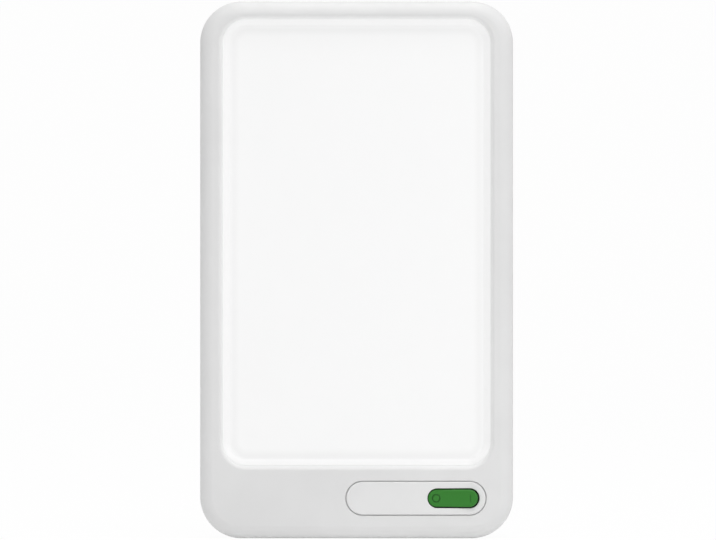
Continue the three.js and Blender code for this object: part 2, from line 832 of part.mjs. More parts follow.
// Twin-tube lamp glass: up one leg, round the bend and down the other.
function lampTube() {
  const bendRadius = tubeSpacing / 2;
  const bendZ = tubeTop - tubeRadius - bendRadius;
  const stations = [[-bendRadius, lampBaseTop, 0]];
  for (let i = 0; i <= bendSteps; i++) {
    const turn = i / bendSteps * Math.PI;
    stations.push([-bendRadius * Math.cos(turn), bendZ + bendRadius * Math.sin(turn), turn]);
  }
  stations.push([bendRadius, lampBaseTop, Math.PI]);
  const rings = stations.map(([x, z, turn]) => {
    const across = new THREE.Vector3(Math.cos(turn), 0, -Math.sin(turn));
    return Array.from({ length: tubeSides }, (_, j) => {
      const angle = (j + 1 / 2) / tubeSides * 2 * Math.PI;
      const point = across.clone().multiplyScalar(tubeRadius * Math.cos(angle));
      return point.add(new THREE.Vector3(x, tubeRadius * Math.sin(angle), z));
    });
  });
  return loft(rings, false);
}

function upright(shape, z0, z1) {
  const geometry = new THREE.ExtrudeGeometry(shape, { depth: z1 - z0, bevelEnabled: false });
  return geometry.translate(0, 0, z0);
}

function lampPinPlaces() {
  return spread(4, lampPinPitch);
}

function lampBase() {
  const block = upright(roundedRect(lampBaseWidth, lampBaseDepth, lampBaseRound), lampBaseLow, lampBaseTop);
  const pins = lampPinPlaces().map((x) => rodAlongZ(
    lampPinRadius, x, 0, lampBaseLow - lampPinLength, lampBaseLow + lampBaseHeight / 2, cornerSegments,
  ));
  return toGeometry(joined(block, ...pins));
}

// Lamp holder: block on the bracket with four pin bores.
function lampHolder() {
  const depth = trayDepth - holderFront;
  const width = lampBaseWidth + 2 * holderSideMargin;
  const block = upright(roundedRect(width, depth, holderRound), holderLow, holderHigh);
  block.translate(0, holderFront + depth / 2 - lampDepth, 0);
  const bores = lampPinPlaces().map((x) => rodAlongZ(
    lampPinRadius + fit, x, 0, holderLow + holderFloor, holderHigh + overrun, cornerSegments,
  ));
  return toGeometry(cutBy(toSolid(block), bores));
}

// Spring clip: a flat foot on the tray and two arms that grip the glass, flared at their tips.
function tubeClip() {
  const outer = clipHalfWidth;
  const inner = outer - clipThickness;
  const foot = clipFloor - lampDepth + clipThickness;
  const bend = clipFloor - lampDepth;
  const half = [[outer, foot], [outer, -clipGrip], [outer + clipFlare, -clipGrip - clipFlare]];
  const inside = [[inner + clipFlare, -clipGrip - clipFlare], [inner, -clipGrip], [inner, bend]];
  const right = [...half, ...inside];
  const left = right.map(([x, y]) => [-x, y]).reverse();
  const shape = new THREE.Shape([...right, ...left].map(([x, y]) => new THREE.Vector2(x, y)));
  return upright(shape, tubeTop - clipDrop - clipHeight / 2, tubeTop - clipDrop + clipHeight / 2);
}

// Reflector: a tray of bent sheet with folded ridges between the lamps and three lamp openings.
function reflector() {
  const rim = faceThickness + fit + panelThickness + fit;
  const floorRing = (skin, depth) => ring(
    lipStartSide + lipWidth + traySideSlope - skin,
    lipStartTop + lipWidth + trayTopSlope - skin,
    lipStartBottom + lipWidth + trayBaseSlope - skin,
    lipRadius,
    depth,
  );
  const rings = [
    floorRing(0, trayDepth),
    lipRing(-trayRimInner, rim),
    lipRing(-trayRimOuter, rim),
    lipRing(-trayRimOuter, rim + sheetThickness),
    lipRing(-trayRimInner - sheetThickness, rim + sheetThickness),
    floorRing(sheetThickness, trayBack),
  ];
  const floorLow = lipStartBottom + lipWidth + trayBaseSlope;
  const floorHigh = bodyHeight - lipStartTop - lipWidth - trayTopSlope;
  const ridgeHalfWidth = lampPitch / 2 - clipHalfWidth - ridgeSideGap;
  const ridge = new THREE.Shape([
    new THREE.Vector2(-ridgeHalfWidth, trayDepth + sheetThickness / 2),
    new THREE.Vector2(0, trayDepth - ridgeHeight),
    new THREE.Vector2(ridgeHalfWidth, trayDepth + sheetThickness / 2),
  ]);
  const ridges = ridgePlaces.map(
    (x) => upright(ridge, floorLow + ridgeEndGap, floorHigh - ridgeEndGap).translate(x, 0, 0),
  );
  const holeHalf = lampBaseWidth / 2 + lampHoleMargin;
  const holes = lampPlaces.map((x) => boxBetween(
    x - holeHalf, x + holeHalf,
    lampDepth - tubeRadius - lampHoleMargin, lampDepth + tubeRadius + lampHoleMargin,
    lampBaseTop, floorLow + lipRadius,
  ));
  const screwHoles = trayScrewPlaces.map(([x, z]) => rodAlongY(
    smallShankRadius + fit, x, z, trayDepth - overrun, trayBack + overrun,
  ));
  return toGeometry(cutBy(joined(loft(rings, false), ...ridges), [...holes, ...screwHoles]));
}

// Lamp bracket: a flat sheet with a folded lower edge, behind the three holders.
function lampBracket() {
  const bracketHalfWidth = bodyWidth / 2 - bracketEndInset;
  const plate = boxBetween(
    -bracketHalfWidth, bracketHalfWidth, trayDepth, trayBack, bracketLow, bracketHigh,
  );
  const fold = boxBetween(
    -bracketHalfWidth, bracketHalfWidth, trayDepth, trayDepth + bracketFold, bracketLow, bracketLow + sheetThickness,
  );
  const holes = bracketScrewPlaces.map(([x, z]) => rodAlongY(
    smallShankRadius + fit, x, z, trayDepth - overrun, trayBack + overrun,
  ));
  return toGeometry(cutBy(joined(plate, fold), holes));
}

// Pan-head screw whose head's underside lies at zero, pointing to +Y.
function screw(headRadius, headHeight, shankRadius, shankLength) {
  const profile = [[0, shankLength], [shankRadius, shankLength], [shankRadius, 0], [headRadius, 0]];
  profile.push([headRadius, -headHeight / 2], [headRadius * Math.SQRT1_2, -headHeight], [0, -headHeight]);
  return new THREE.LatheGeometry(profile.map(([x, y]) => new THREE.Vector2(x, y)).reverse(), shaftSides);
}

// Stand leg: a plate with ribs on its hidden side and a barrel that turns on the two hinge pins.
function standLeg() {
  const low = standTipZ + standPadThickness;
  const shape = legOutline(standHalfWidth, low, standHingeZ, standCorner);
  const plate = through(shape, 0, 0, standFront, standBack);
  const barrel = rodAlongX(standThickness / 2, -standHalfWidth, standHalfWidth, hingeDepth, standHingeZ, roundSides);
  const pinHoles = [-1, 1].map((side) => {
    const inner = side * (standHalfWidth - hingePinInLeg - fit);
    const outer = side * (standHalfWidth + overrun);
    return rodAlongX(hingePinRadius + fit, Math.min(inner, outer), Math.max(inner, outer), hingeDepth, standHingeZ);
  });
  const fieldWidth = 2 * (standHalfWidth - standRimWidth);
  const fieldLow = low + standRimWidth;
  const fieldHeight = standHingeZ - standThickness - standRimWidth - fieldLow;
  const cellWidth = (fieldWidth - (standRibColumns - 1) * standRibWidth) / standRibColumns;
  const cellHeight = (fieldHeight - (standRibRows - 1) * standRibWidth) / standRibRows;
  const cells = [];
  for (let column = 0; column < standRibColumns; column++) {
    for (let row = 0; row < standRibRows; row++) {
      const x = -fieldWidth / 2 + cellWidth / 2 + column * (cellWidth + standRibWidth);
      const z = fieldLow + cellHeight / 2 + row * (cellHeight + standRibWidth);
      const round = row === 0 ? standCorner - standRimWidth : standRibWidth;
      const cell = roundedRect(cellWidth, cellHeight, round, standCellSegments);
      cells.push(through(cell, x, z, standFront - overrun, standBack - standSkin));
    }
  }
  return toGeometry(cutBy(joined(plate, barrel), [...pinHoles, ...cells]));
}

function standPad() {
  return boxBetween(
    -standPadHalfWidth, standPadHalfWidth, standFront, standBack, standTipZ, standTipZ + standPadThickness,
  );
}

function hingePin(side) {
  const inner = side * (standHalfWidth - hingePinInLeg);
  const outer = side * (standHalfWidth - hingePinInLeg + hingePinLength);
  return rodAlongX(hingePinRadius, Math.min(inner, outer), Math.max(inner, outer), hingeDepth, standHingeZ);
}

// Mains inlet: a shell with an obround socket.
function inletSocket() {
  const face = bodyDepth - inletSink;
  const shell = through(roundedRect(inletWidth, inletHeight, inletRound), inletX, inletZ, face - inletDepth, face);
  const cavity = through(
    obround(cavityWidth, cavityHeight), inletX, inletZ, face - cavityDepth, face + overrun,
  );
  return toGeometry(cutBy(toSolid(shell), [cavity]));
}

function inletPin(x) {
  const floor = bodyDepth - inletSink - cavityDepth;
  return rodAlongY(inletPinRadius, x, inletZ, floor, floor + inletPinLength);
}

// Ballast board and its components, which stand on the board's front face.
function ballastBoard() {
  const plate = boxBetween(-boardHalfWidth, boardHalfWidth, boardFront, boardBack, boardLow, boardHigh);
  const holes = boardScrewPlaces.map(([x, z]) => rodAlongY(
    smallShankRadius + fit, x, z, boardFront - overrun, boardBack + overrun,
  ));
  return toGeometry(cutBy(toSolid(plate), holes));
}

function ballastChoke(x) {
  const chokeZ = boardLow + chokeRise;
  const core = through(
    roundedRect(chokeWidth, chokeHeight, chokeRound), x, chokeZ, boardFront - chokeTall, boardFront,
  );
  const winding = through(
    roundedRect(windingWidth, windingHeight, windingWidth / 4),
    x, chokeZ, boardFront - chokeTall + windingInset, boardFront - windingInset,
  );
  return toGeometry(joined(core, winding));
}

function ballastCapacitor() {
  const y = boardFront - capacitorRadius - fit;
  return rodAlongX(
    capacitorRadius, capacitorX - capacitorLength / 2, capacitorX + capacitorLength / 2, y, upperRowZ,
  );
}

function lineFilter() {
  const low = boardFront - filterTall;
  const profile = [
    [filterInner + filterRound, boardFront], [filterOuter - filterRound, boardFront],
    [filterOuter, boardFront - filterRound], [filterOuter, low + filterRound],
    [filterOuter - filterRound, low], [filterInner + filterRound, low],
    [filterInner, low + filterRound], [filterInner, boardFront - filterRound],
    [filterInner + filterRound, boardFront],
  ];
  const geometry = new THREE.LatheGeometry(profile.map(([x, y]) => new THREE.Vector2(x, y)), roundSides);
  return closedLathe(geometry).translate(filterX, 0, upperRowZ);
}

// A revolved profile with its seam merged and its faces turned out.
function closedLathe(geometry) {
  geometry.deleteAttribute('normal');
  geometry.deleteAttribute('uv');
  const merged = mergeVertices(geometry);
  const position = merged.attributes.position;
  const points = Array.from({ length: position.count }, (_, i) => new THREE.Vector3().fromBufferAttribute(position, i));
  const triangles = [];
  for (let i = 0; i < merged.index.count; i += 3) {
    const [a, b, c] = [0, 1, 2].map((k) => merged.index.getX(i + k));
    if (a !== b && b !== c && c !== a) triangles.push([a, b, c]);
  }
  return closedBody(points, triangles);
}

function heatSink() {
  const low = sinkX - sinkWidth / 2;
  const base = boxBetween(
    low, low + sinkWidth, boardFront - sinkBase, boardFront, upperRowZ - sinkHeight / 2, upperRowZ + sinkHeight / 2,
  );
  const pitch = (sinkWidth - finThickness) / (finCount - 1);
  const fins = Array.from({ length: finCount }, (_, i) => boxBetween(
    low + i * pitch, low + i * pitch + finThickness, boardFront - sinkTall, boardFront - sinkBase / 2,
    upperRowZ - sinkHeight / 2, upperRowZ + sinkHeight / 2,
  ));
  return toGeometry(joined(base, ...fins));
}

function terminalBlock() {
  const width = blockPoles * polePitch;
  const blockZ = boardLow + blockRise;
  const block = boxBetween(
    -width / 2, width / 2, boardFront - blockTall, boardFront,
    blockZ - blockHeight / 2, blockZ + blockHeight / 2,
  );
  const holes = spread(blockPoles, polePitch).map((x) => rodAlongZ(
    poleHoleRadius, x, boardFront - blockTall / 2,
    blockZ - blockHeight / 2 - overrun, blockZ - blockHeight / 2 + poleHoleDepth, cornerSegments,
  ));
  return toGeometry(cutBy(toSolid(block), holes));
}

function fuse() {
  const y = boardFront - fuseCapRadius - fit;
  const fuseZ = boardLow + fuseRise;
  const low = fuseX - fuseLength / 2;
  const high = fuseX + fuseLength / 2;
  return toGeometry(joined(
    rodAlongX(fuseRadius, low + fuseCapLength / 2, high - fuseCapLength / 2, y, fuseZ),
    rodAlongX(fuseCapRadius, low, low + fuseCapLength, y, fuseZ),
    rodAlongX(fuseCapRadius, high - fuseCapLength, high, y, fuseZ),
  ));
}

// Assembly
const lamp = new THREE.Group();

function add(name, geometry, material, x = 0, y = 0, z = 0, turn = 0) {
  const mesh = piece(name, geometry, material);
  mesh.position.set(x, y, z);
  mesh.rotation.z = turn;
  lamp.add(mesh);
}

add('front_frame', frontFrame(), housingWhite);
add('rear_cover', rearCover(), coverWhite);
add('diffuser_panel', diffuserPanel(), opal);
add('control_plate', controlPlate(), plateWhite);
add('switch_body', switchBody(), blackPlastic);
add(
  'rocker_cap', rockerCap(), switchGreen,
  rockerX, rockerPivotDepth, plateZ, THREE.MathUtils.degToRad(-rockerTiltDegrees),
);
add(
  'contact_lever', contactLever(), brass,
  rockerX, rockerPivotDepth + leverPivotDrop, plateZ, THREE.MathUtils.degToRad(leverTiltDegrees),
);
spread(terminalCount, terminalPitch).forEach((x, i) => {
  add(`switch_terminal_${i + 1}`, switchTerminal(), brass, rockerX + x, switchBack, plateZ);
});

add('reflector', reflector(), sheetMetal);
add('lamp_bracket', lampBracket(), sheetMetal);
lampPlaces.forEach((x, i) => {
  add(`lamp_tube_${i + 1}`, lampTube(), tubeGlass, x, lampDepth);
  add(`lamp_base_${i + 1}`, lampBase(), lampPlastic, x, lampDepth);
  add(`lamp_holder_${i + 1}`, lampHolder(), lampPlastic, x, lampDepth);
  add(`tube_clip_${i + 1}`, tubeClip(), steel, x, lampDepth);
});

add('ballast_board', ballastBoard(), boardGreen);
spread(chokeCount, chokePitch).forEach((x, i) => {
  add(`ballast_choke_${i + 1}`, ballastChoke(x), ferrite);
});
add('ballast_capacitor', ballastCapacitor(), capacitorBlue);
add('line_filter', lineFilter(), ferrite);
add('heat_sink', heatSink(), sheetMetal);
add('terminal_block', terminalBlock(), blockGreen);
add('ballast_fuse', fuse(), tubeGlass);

add('inlet_socket', inletSocket(), blackPlastic);
spread(2, inletPinSpacing).forEach((x, i) => {
  add(`inlet_pin_${i + 1}`, inletPin(inletX + x), steel);
});

add('stand_leg', standLeg(), coverWhite);
add('stand_pad', standPad(), rubber);
add('stand_hinge_pin_left', hingePin(-1), steel);
add('stand_hinge_pin_right', hingePin(1), steel);

const coverScrew = screw(coverHeadRadius, coverHeadHeight, coverShankRadius, coverShankLength).rotateZ(Math.PI);
coverScrewPlaces.forEach(([x, z], i) => {
  add(`cover_screw_${i + 1}`, coverScrew.clone(), steel, x, coverSeat, z);
});
const smallScrew = screw(smallHeadRadius, smallHeadHeight, smallShankRadius, smallShankLength);
trayScrewPlaces.forEach(([x, z], i) => {
  add(`reflector_screw_${i + 1}`, smallScrew.clone(), steel, x, trayDepth, z);
});
bracketScrewPlaces.forEach(([x, z], i) => {
  add(`bracket_screw_${i + 1}`, smallScrew.clone(), steel, x, trayDepth, z);
});
const boardScrew = screw(smallHeadRadius, smallHeadHeight, smallShankRadius, boardShankLength);
boardScrewPlaces.forEach(([x, z], i) => {
  add(`board_screw_${i + 1}`, boardScrew.clone(), steel, x, boardFront, z);
});

// The origin lies under the middle of the whole lamp.
const bounds = new THREE.Box3().setFromObject(lamp, true);
lamp.position.y = -(bounds.min.y + bounds.max.y) / 2;

export default lamp;
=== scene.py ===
"""Light therapy lamp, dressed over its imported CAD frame.

Lengths in the classes are millimetres: x to the right, depth back from the front face, z up. They turn into
metres only where a mesh is made.
"""
import json
import logging
import math
from dataclasses import dataclass, field
from enum import Enum

import bmesh
import bpy
import numpy as np
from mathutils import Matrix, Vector


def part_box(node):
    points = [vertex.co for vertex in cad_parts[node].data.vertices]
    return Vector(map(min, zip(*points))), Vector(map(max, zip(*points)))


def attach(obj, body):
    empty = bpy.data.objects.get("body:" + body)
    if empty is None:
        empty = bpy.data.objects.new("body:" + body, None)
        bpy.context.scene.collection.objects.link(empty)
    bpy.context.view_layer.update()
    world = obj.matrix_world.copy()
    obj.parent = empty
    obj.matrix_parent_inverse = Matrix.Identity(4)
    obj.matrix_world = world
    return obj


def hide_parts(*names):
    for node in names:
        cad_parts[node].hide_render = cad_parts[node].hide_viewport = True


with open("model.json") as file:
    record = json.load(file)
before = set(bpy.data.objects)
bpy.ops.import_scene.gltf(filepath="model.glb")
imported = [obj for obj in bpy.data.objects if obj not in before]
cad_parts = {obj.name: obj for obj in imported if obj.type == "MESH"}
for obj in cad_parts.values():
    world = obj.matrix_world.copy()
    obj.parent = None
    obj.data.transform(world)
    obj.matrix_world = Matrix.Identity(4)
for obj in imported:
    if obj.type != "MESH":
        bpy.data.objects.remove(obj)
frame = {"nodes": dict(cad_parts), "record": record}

log = logging.getLogger("lamp")

FRONT_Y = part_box("front_frame")[0][1]
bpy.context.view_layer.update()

# Metres: a millimetre, the distance under which two points are one, and the length of a sliver's edge
MM = 0.001
SAME_POINT = 1e-6
SLIVER = 3e-6

# Millimetres: the flat strip beside a rounding, the run of a cut past a face, and of a bar into its bearer
SUPPORT = 0.1
PAST = 2
ROOT = 1

# Share by which broad faces set a point's normal, from 1 to 100
FACE_WEIGHT = 80


# Surfaces

@dataclass
class Surface:
    """A mesh in lamp millimetres: points as (x, depth, z) rows, faces as index lists."""

    points: np.ndarray
    faces: list

    def placed(self) -> np.ndarray:
        """Points in metres, where the frame has the lamp."""
        return self.points * MM + np.array([0, FRONT_Y, 0])


def merged(*surfaces: Surface) -> Surface:
    """Puts several closed surfaces into one mesh.

    Args:
        surfaces: the surfaces, which keep their own points.

    Returns:
        One surface holding them all.
    """
    points = np.concatenate([s.points for s in surfaces])
    starts = np.cumsum([0] + [len(s.points) for s in surfaces])
    faces = [[i + start for i in f] for s, start in zip(surfaces, starts) for f in s.faces]
    return Surface(points, faces)


def loft(rings: np.ndarray, closed: bool = False, last_face: bool = True) -> Surface:
    """Joins rings of equal count with quads.

    Point (i, j) of the grid is joined to (i, j + 1), (i + 1, j + 1) and (i + 1, j), with j taken round the
    ring. Open lofts get a flat face on their first and last ring.

    Args:
        rings: array of shape (rings, points, 3).
        closed: joins the last ring to the first.
        last_face: whether the last ring gets its face, which a ring that closes on itself doesn't need.

    Returns:
        The closed surface.
    """
    rows, columns = rings.shape[:2]
    index = np.arange(rows * columns).reshape(rows, columns)
    after = np.roll(index, -1, axis=0) if closed else index[1:]
    here = index if closed else index[:-1]
    quads = np.stack([here, np.roll(here, -1, axis=1), np.roll(after, -1, axis=1), after], axis=-1)
    faces = quads.reshape(-1, 4).tolist()
    if not closed:
        faces += [index[0][::-1].tolist()] + ([index[-1].tolist()] if last_face else [])
    return Surface(rings.reshape(-1, 3), faces)


def rounded_rings(
    half: np.ndarray, low: np.ndarray, high: np.ndarray, round_top: np.ndarray, round_low: np.ndarray,
    depth: np.ndarray, x: float = 0, steps: int = 24, along: int = 1,
) -> np.ndarray:
    """Rounded rectangles as seen from the front, one per depth.

    Corner q runs from q to q + 1 right angles. Each point is its corner's centre plus the corner's radius
    times (cos, sin) of its angle. The level sides get extra points, spaced evenly.

    Args:
        half: half widths.
        low: heights of the lower sides.
        high: heights of the upper sides.
        round_top: radii of the two upper corners.
        round_low: radii of the two lower corners.
        depth: depths of the rings.
        x: middle of the rings.
        steps: segments in each corner.
        along: segments along each level side.

    Returns:
        Array of shape (rings, points, 3).
    """
    sizes = np.broadcast_arrays(*map(np.atleast_1d, (half, low, high, round_top, round_low, depth)))
    half, low, high, round_top, round_low, depth = (size[:, None] for size in sizes)
    share = np.linspace(0, 1, steps + 1)
    level = np.linspace(0, 1, along + 1)[1:-1]
    parts = []
    for corner, (sx, sz) in enumerate(((1, 1), (-1, 1), (-1, -1), (1, -1))):
        angle = (corner + share) * math.pi / 2
        radius = round_top if sz > 0 else round_low
        edge = high - radius if sz > 0 else low + radius
        px = sx * (half - radius) + radius * np.cos(angle)
        pz = edge + radius * np.sin(angle)
        parts.append((px, pz))
        if corner in (0, 2):
            reach = half - radius
            parts.append((sx * reach * (1 - 2 * level), (high if sz > 0 else low) + 0 * level))
    px = np.concatenate([p for p, _ in parts], axis=1) + x
    pz = np.concatenate([q for _, q in parts], axis=1)
    return np.stack([px, np.broadcast_to(depth, px.shape), pz], axis=-1)


def obround_rings(
    length: float, height: float, inward: np.ndarray, depth: np.ndarray, x: float, z: float,
    steps: int = 16, along: int = 1,
) -> np.ndarray:
    """Rings with two round ends, moved inward from one outline.

    Args:
        length: full length of the outline.
        height: full height of the outline, twice the radius of its ends.
        inward: distance of each ring inside the outline.
        depth: depth of each ring.
        x: middle of the outline.
        z: middle height of the outline.
        steps: segments in each quarter of an end.
        along: segments along each level side.

    Returns:
        Array of shape (rings, points, 3).
    """
    inward = np.atleast_1d(inward)
    radius = height / 2 - inward
    return rounded_rings(length / 2 - inward, z - radius, z + radius, radius, radius, depth, x, steps, along)


def prism(
    half: float, low: float, high: float, corner: float, start: float, end: float,
    x: float = 0, steps: int = 6,
) -> Surface:
    """A rounded rectangle run straight back from one depth to another."""
    return loft(rounded_rings(half, low, high, corner, corner, np.array([start, end]), x, steps))


def post(radius: float, x: float, z: float, start: float, end: float, steps: int = 8) -> Surface:
    """A round bar along the depth."""
    return prism(radius, z - radius, z + radius, radius, start, end, x, steps)


def full_turn(steps: int) -> np.ndarray:
    """Angles of a full turn in even steps, without the last, which is the first again."""
    return np.arange(steps) / steps * 2 * math.pi


def turned(profile: np.ndarray, x: float, z: float, steps: int) -> Surface:
    """Revolves (radius, depth) rows about a line along the depth at (x, z).

    Point (i, j) lies at radius i from the line, at angle j of a full turn, and at depth i.
    """
    angle = full_turn(steps)
    radius, depth = profile[:, :1], profile[:, 1:]
    px = x + radius * np.cos(angle)
    pz = z + radius * np.sin(angle)
    return loft(np.stack([px, np.broadcast_to(depth, px.shape), pz], axis=-1))


def side_bars(inner: float, outer: float, radius: float, depth: float, z: float, steps: int = 32) -> list:
    """A round bar along x on each side, from one distance to another from the middle."""
    angle = full_turn(steps)
    section = np.stack([0 * angle, depth + radius * np.cos(angle), z + radius * np.sin(angle)], axis=-1)
    return [loft(section + np.array([[[side * x, 0, 0]] for x in (inner, outer)])) for side in (-1, 1)]


def block(x0: float, x1: float, start: float, end: float, z0: float, z1: float) -> Surface:
    """A box between two corners."""
    corners = [[x1, z1], [x0, z1], [x0, z0], [x1, z0]]
    return loft(np.array([[[x, d, z] for x, z in corners] for d in (start, end)], dtype=float))


def quarter(steps: int) -> tuple:
    """Sine and one minus cosine over a right angle, the two shares of a quarter ellipse."""
    angle = np.linspace(0, math.pi / 2, steps + 1)
    return np.sin(angle), 1 - np.cos(angle)


def circle(radius: float, across: np.ndarray) -> np.ndarray:
    """Height of a circle over its middle line, at distances from its centre that count from 0 up."""
    return np.sqrt(np.maximum(radius ** 2 - np.maximum(across, 0) ** 2, 0))


# Objects

class Join(Enum):
    """How a surface changes an object's mesh."""

    ADD = "UNION"
    CUT = "DIFFERENCE"


def linked(name: str, data: bpy.types.ID) -> bpy.types.Object:
    """Object at the origin that holds the data, linked into the scene."""
    made = bpy.data.objects.new(name, data)
    bpy.context.scene.collection.objects.link(made)
    return made


def make_object(name: str, surface: Surface) -> bpy.types.Object:
    """Makes a linked object at the origin whose mesh holds the surface in metres, faces outward.

    Args:
        name: name of the object and mesh.
        surface: closed surface in lamp millimetres.

    Returns:
        The object.
    """
    mesh = bpy.data.meshes.new(name)
    mesh.from_pydata(surface.placed().tolist(), [], surface.faces)
    work = bmesh.new()
    work.from_mesh(mesh)
    bmesh.ops.remove_doubles(work, verts=work.verts, dist=SAME_POINT)
    bmesh.ops.recalc_face_normals(work, faces=work.faces)
    work.to_mesh(mesh)
    work.free()
    return linked(name, mesh)


def combine(made: bpy.types.Object, other: Surface, join: Join) -> None:
    """Unites a surface with an object's mesh or takes it away, and keeps the result as the mesh.

    Args:
        made: object that is changed.
        other: closed surface in lamp millimetres.
        join: whether the surface is added or cut out.
    """
    tool = make_object(f"{made.name}_tool", other)
    step = made.modifiers.new("combine", "BOOLEAN")
    step.operation, step.solver, step.object = join.value, "EXACT", tool
    graph = bpy.context.evaluated_depsgraph_get()
    result = bpy.data.meshes.new_from_object(made.evaluated_get(graph))
    made.modifiers.clear()
    old, made.data = made.data, result
    result.name = made.name
    bpy.data.meshes.remove(old)
    mesh = tool.data
    bpy.data.objects.remove(tool)
    bpy.data.meshes.remove(mesh)


def smooth(made: bpy.types.Object, degrees: float) -> None:
    """Dissolves slivers, shades smooth but for sharp edges past an angle, and lets broad faces lead."""
    work = bmesh.new()
    work.from_mesh(made.data)
    bmesh.ops.dissolve_degenerate(work, edges=work.edges, dist=SLIVER)
    work.to_mesh(made.data)
    work.free()
    made.data.shade_smooth()
    made.data.set_sharp_from_angle(angle=math.radians(degrees))
    weights = made.modifiers.new("face weights", "WEIGHTED_NORMAL")
    weights.keep_sharp = True
    weights.weight = FACE_WEIGHT


def moulded(name: str, surface: Surface, *steps: tuple, degrees: float = 32) -> bpy.types.Object:
    """Makes an object, adds and cuts what the steps give in their order, and smooths it.

    Args:
        name: name of the object.
        surface: closed surface to start from.
        steps: pairs of a way to join and a closed surface.
        degrees: angle past which an edge stays sharp.

    Returns:
        The object.
    """
    made = make_object(name, surface)
    for join, other in steps:
        combine(made, other, join)
    smooth(made, degrees)
    return made


# Finishes

class Texture(Enum):
    """Relief and pattern of a finish."""

    GRAIN = "fine moulded grain"
    BRUSHED = "lines of rolled or drawn metal"
    PEBBLE = "coarse rubber grain"
    WOUND = "turns of wire"
    TRACKS = "board with tracks"
    MARKED = "moulded grain, darker in the sunk ring and bar"


class Glow(Enum):
    """Where a finish's light varies with the distance from the window's edge: painted light on the housing,
    lamp light with painted shade on the panel.
    """

    # Painted light on the housing beside the window, standing for light from the panel.
    PAINTED_LIP_LIGHT = "only beside the window"
    # The panel's lamp light, with painted shade at the bevel's crease and at the panel's foot.
    FLOOR = "on the panel, a little less on the bevel and at the foot"


class Graph:
    """Short calls for the nodes of one material."""

    def __init__(self, material: bpy.types.Material) -> None:
        """Empties the material's tree and keeps it."""
        material.use_nodes = True
        self.tree = material.node_tree
        self.tree.nodes.clear()

    def node(self, kind: str, **values: object) -> bpy.types.Node:
        """Adds a node.

        Args:
            kind: bpy type name of the node.
            values: properties of the node, such as operation.

        Returns:
            The node.
        """
        made = self.tree.nodes.new(kind)
        for key, value in values.items():
            setattr(made, key, value)
        return made

    def feed(self, made: bpy.types.Node, **inputs: object) -> bpy.types.Node:
        """Sets or links a node's inputs, named with underscores for spaces.

        Args:
            made: node to feed.
            inputs: a socket to link from, or a value to set.

        Returns:
            The same node.
        """
        for key, value in inputs.items():
            socket = made.inputs[int(key[1:])] if key[1:].isdigit() else made.inputs[key.replace("_", " ")]
            if isinstance(value, bpy.types.NodeSocket):
                self.tree.links.new(value, socket)
            else:
                socket.default_value = value
        return made

    def math(self, operation: str, a: object, b: object = 0.0) -> bpy.types.NodeSocket:
        """Result of a Math node on two values or sockets."""
        return self.feed(self.node("ShaderNodeMath", operation=operation), i0=a, i1=b).outputs[0]

    def minus(self, a: object, b: object) -> bpy.types.NodeSocket:
        """The first value less the second."""
        return self.math("SUBTRACT", a, b)

    def times(self, a: object, b: object) -> bpy.types.NodeSocket:
        """Product of two values."""
        return self.math("MULTIPLY", a, b)

    def size(self, a: object) -> bpy.types.NodeSocket:
        """Value without its sign."""
        return self.math("ABSOLUTE", a)

    def length(self, a: object, b: object) -> bpy.types.NodeSocket:
        """Root of the sum of two squares."""
        return self.math("SQRT", self.math("ADD", self.times(a, a), self.times(b, b)))

    def remap(self, value: object, low: float, high: float, start: float, end: float) -> bpy.types.NodeSocket:
        """Value carried from one range to another with soft ends."""
        made = self.node("ShaderNodeMapRange", interpolation_type="SMOOTHSTEP")
        self.feed(made, Value=value, From_Min=low, From_Max=high, To_Min=start, To_Max=end)
        return made.outputs[0]

    def noise(self, coords: object, size: float, detail: float = 2, bend: float = 0) -> bpy.types.NodeSocket:
        """Noise whose features are about the given size in millimetres."""
        made = self.node("ShaderNodeTexNoise")
        self.feed(made, Vector=coords, Scale=1 / (size * MM), Detail=detail, Distortion=bend)
        return made.outputs["Fac"]

    def mix(self, share: object, first: object, second: object) -> bpy.types.NodeSocket:
        """Colour between two colours."""
        made = self.node("ShaderNodeMix", data_type="RGBA")
        return self.feed(made, i0=share, i6=first, i7=second).outputs[2]


class Recipe:
    """Numbers that the finishes share: sizes in millimetres, and the shares, factors and ranges of noise."""

    brushed_stretch: float = 0.02
    wave_factor: float = 20
    wave_bend: float = 0.3
    track_edges: tuple = (0.3, 0.34)
    relief_detail: float = 3
    cloud_size: float = 55
    patch_size: float = 7
    patch_detail: float = 4
    middle: tuple = (0.3, 0.7)
    scuff_size: float = 16
    scuff_detail: float = 8
    scuff_bend: float = 0.4
    scuff_edges: tuple = (0.62, 0.78)
    scuff_shade: float = 0.86
    mark_shade: float = 0.45
    mark_strength: float = 0.7
    roughness_swing: float = 0.05
    coat_roughness: float = 0.15


class RockerMarks:
    """Places and sizes of the two generic marks on the rocker, and the shares of these where they fade."""

    ring_x: float = 51.7
    bar_x: float = 74.0
    radius: float = 2.4
    stroke: float = 0.8
    bar_strength: float = 0.35
    stroke_fade: tuple = (0.3, 0.7)
    end_fade: tuple = (0.9, 1.1)


class PanelLight:
    """How the light varies: painted light reaching over the housing's lip, and on the panel a dip on the
    bevel and a dimmer foot, both painted shade.

    Lengths are millimetres. The dip's places are its start, its deepest place and its end, outward from the
    window's edge.
    """

    # Painted light on the housing beside the window fades out over this reach.
    painted_lip_light_reach: float = 2.6
    # Painted shade in the crease at the foot of the bevel.
    dip: float = 0.036
    painted_shade_places: tuple = (-12, -6.8, -5)
    # Painted shade at the panel's lower edge, where its bevel faces up into the light.
    foot: float = 0.07
    painted_foot_shade_reach: float = 8.7


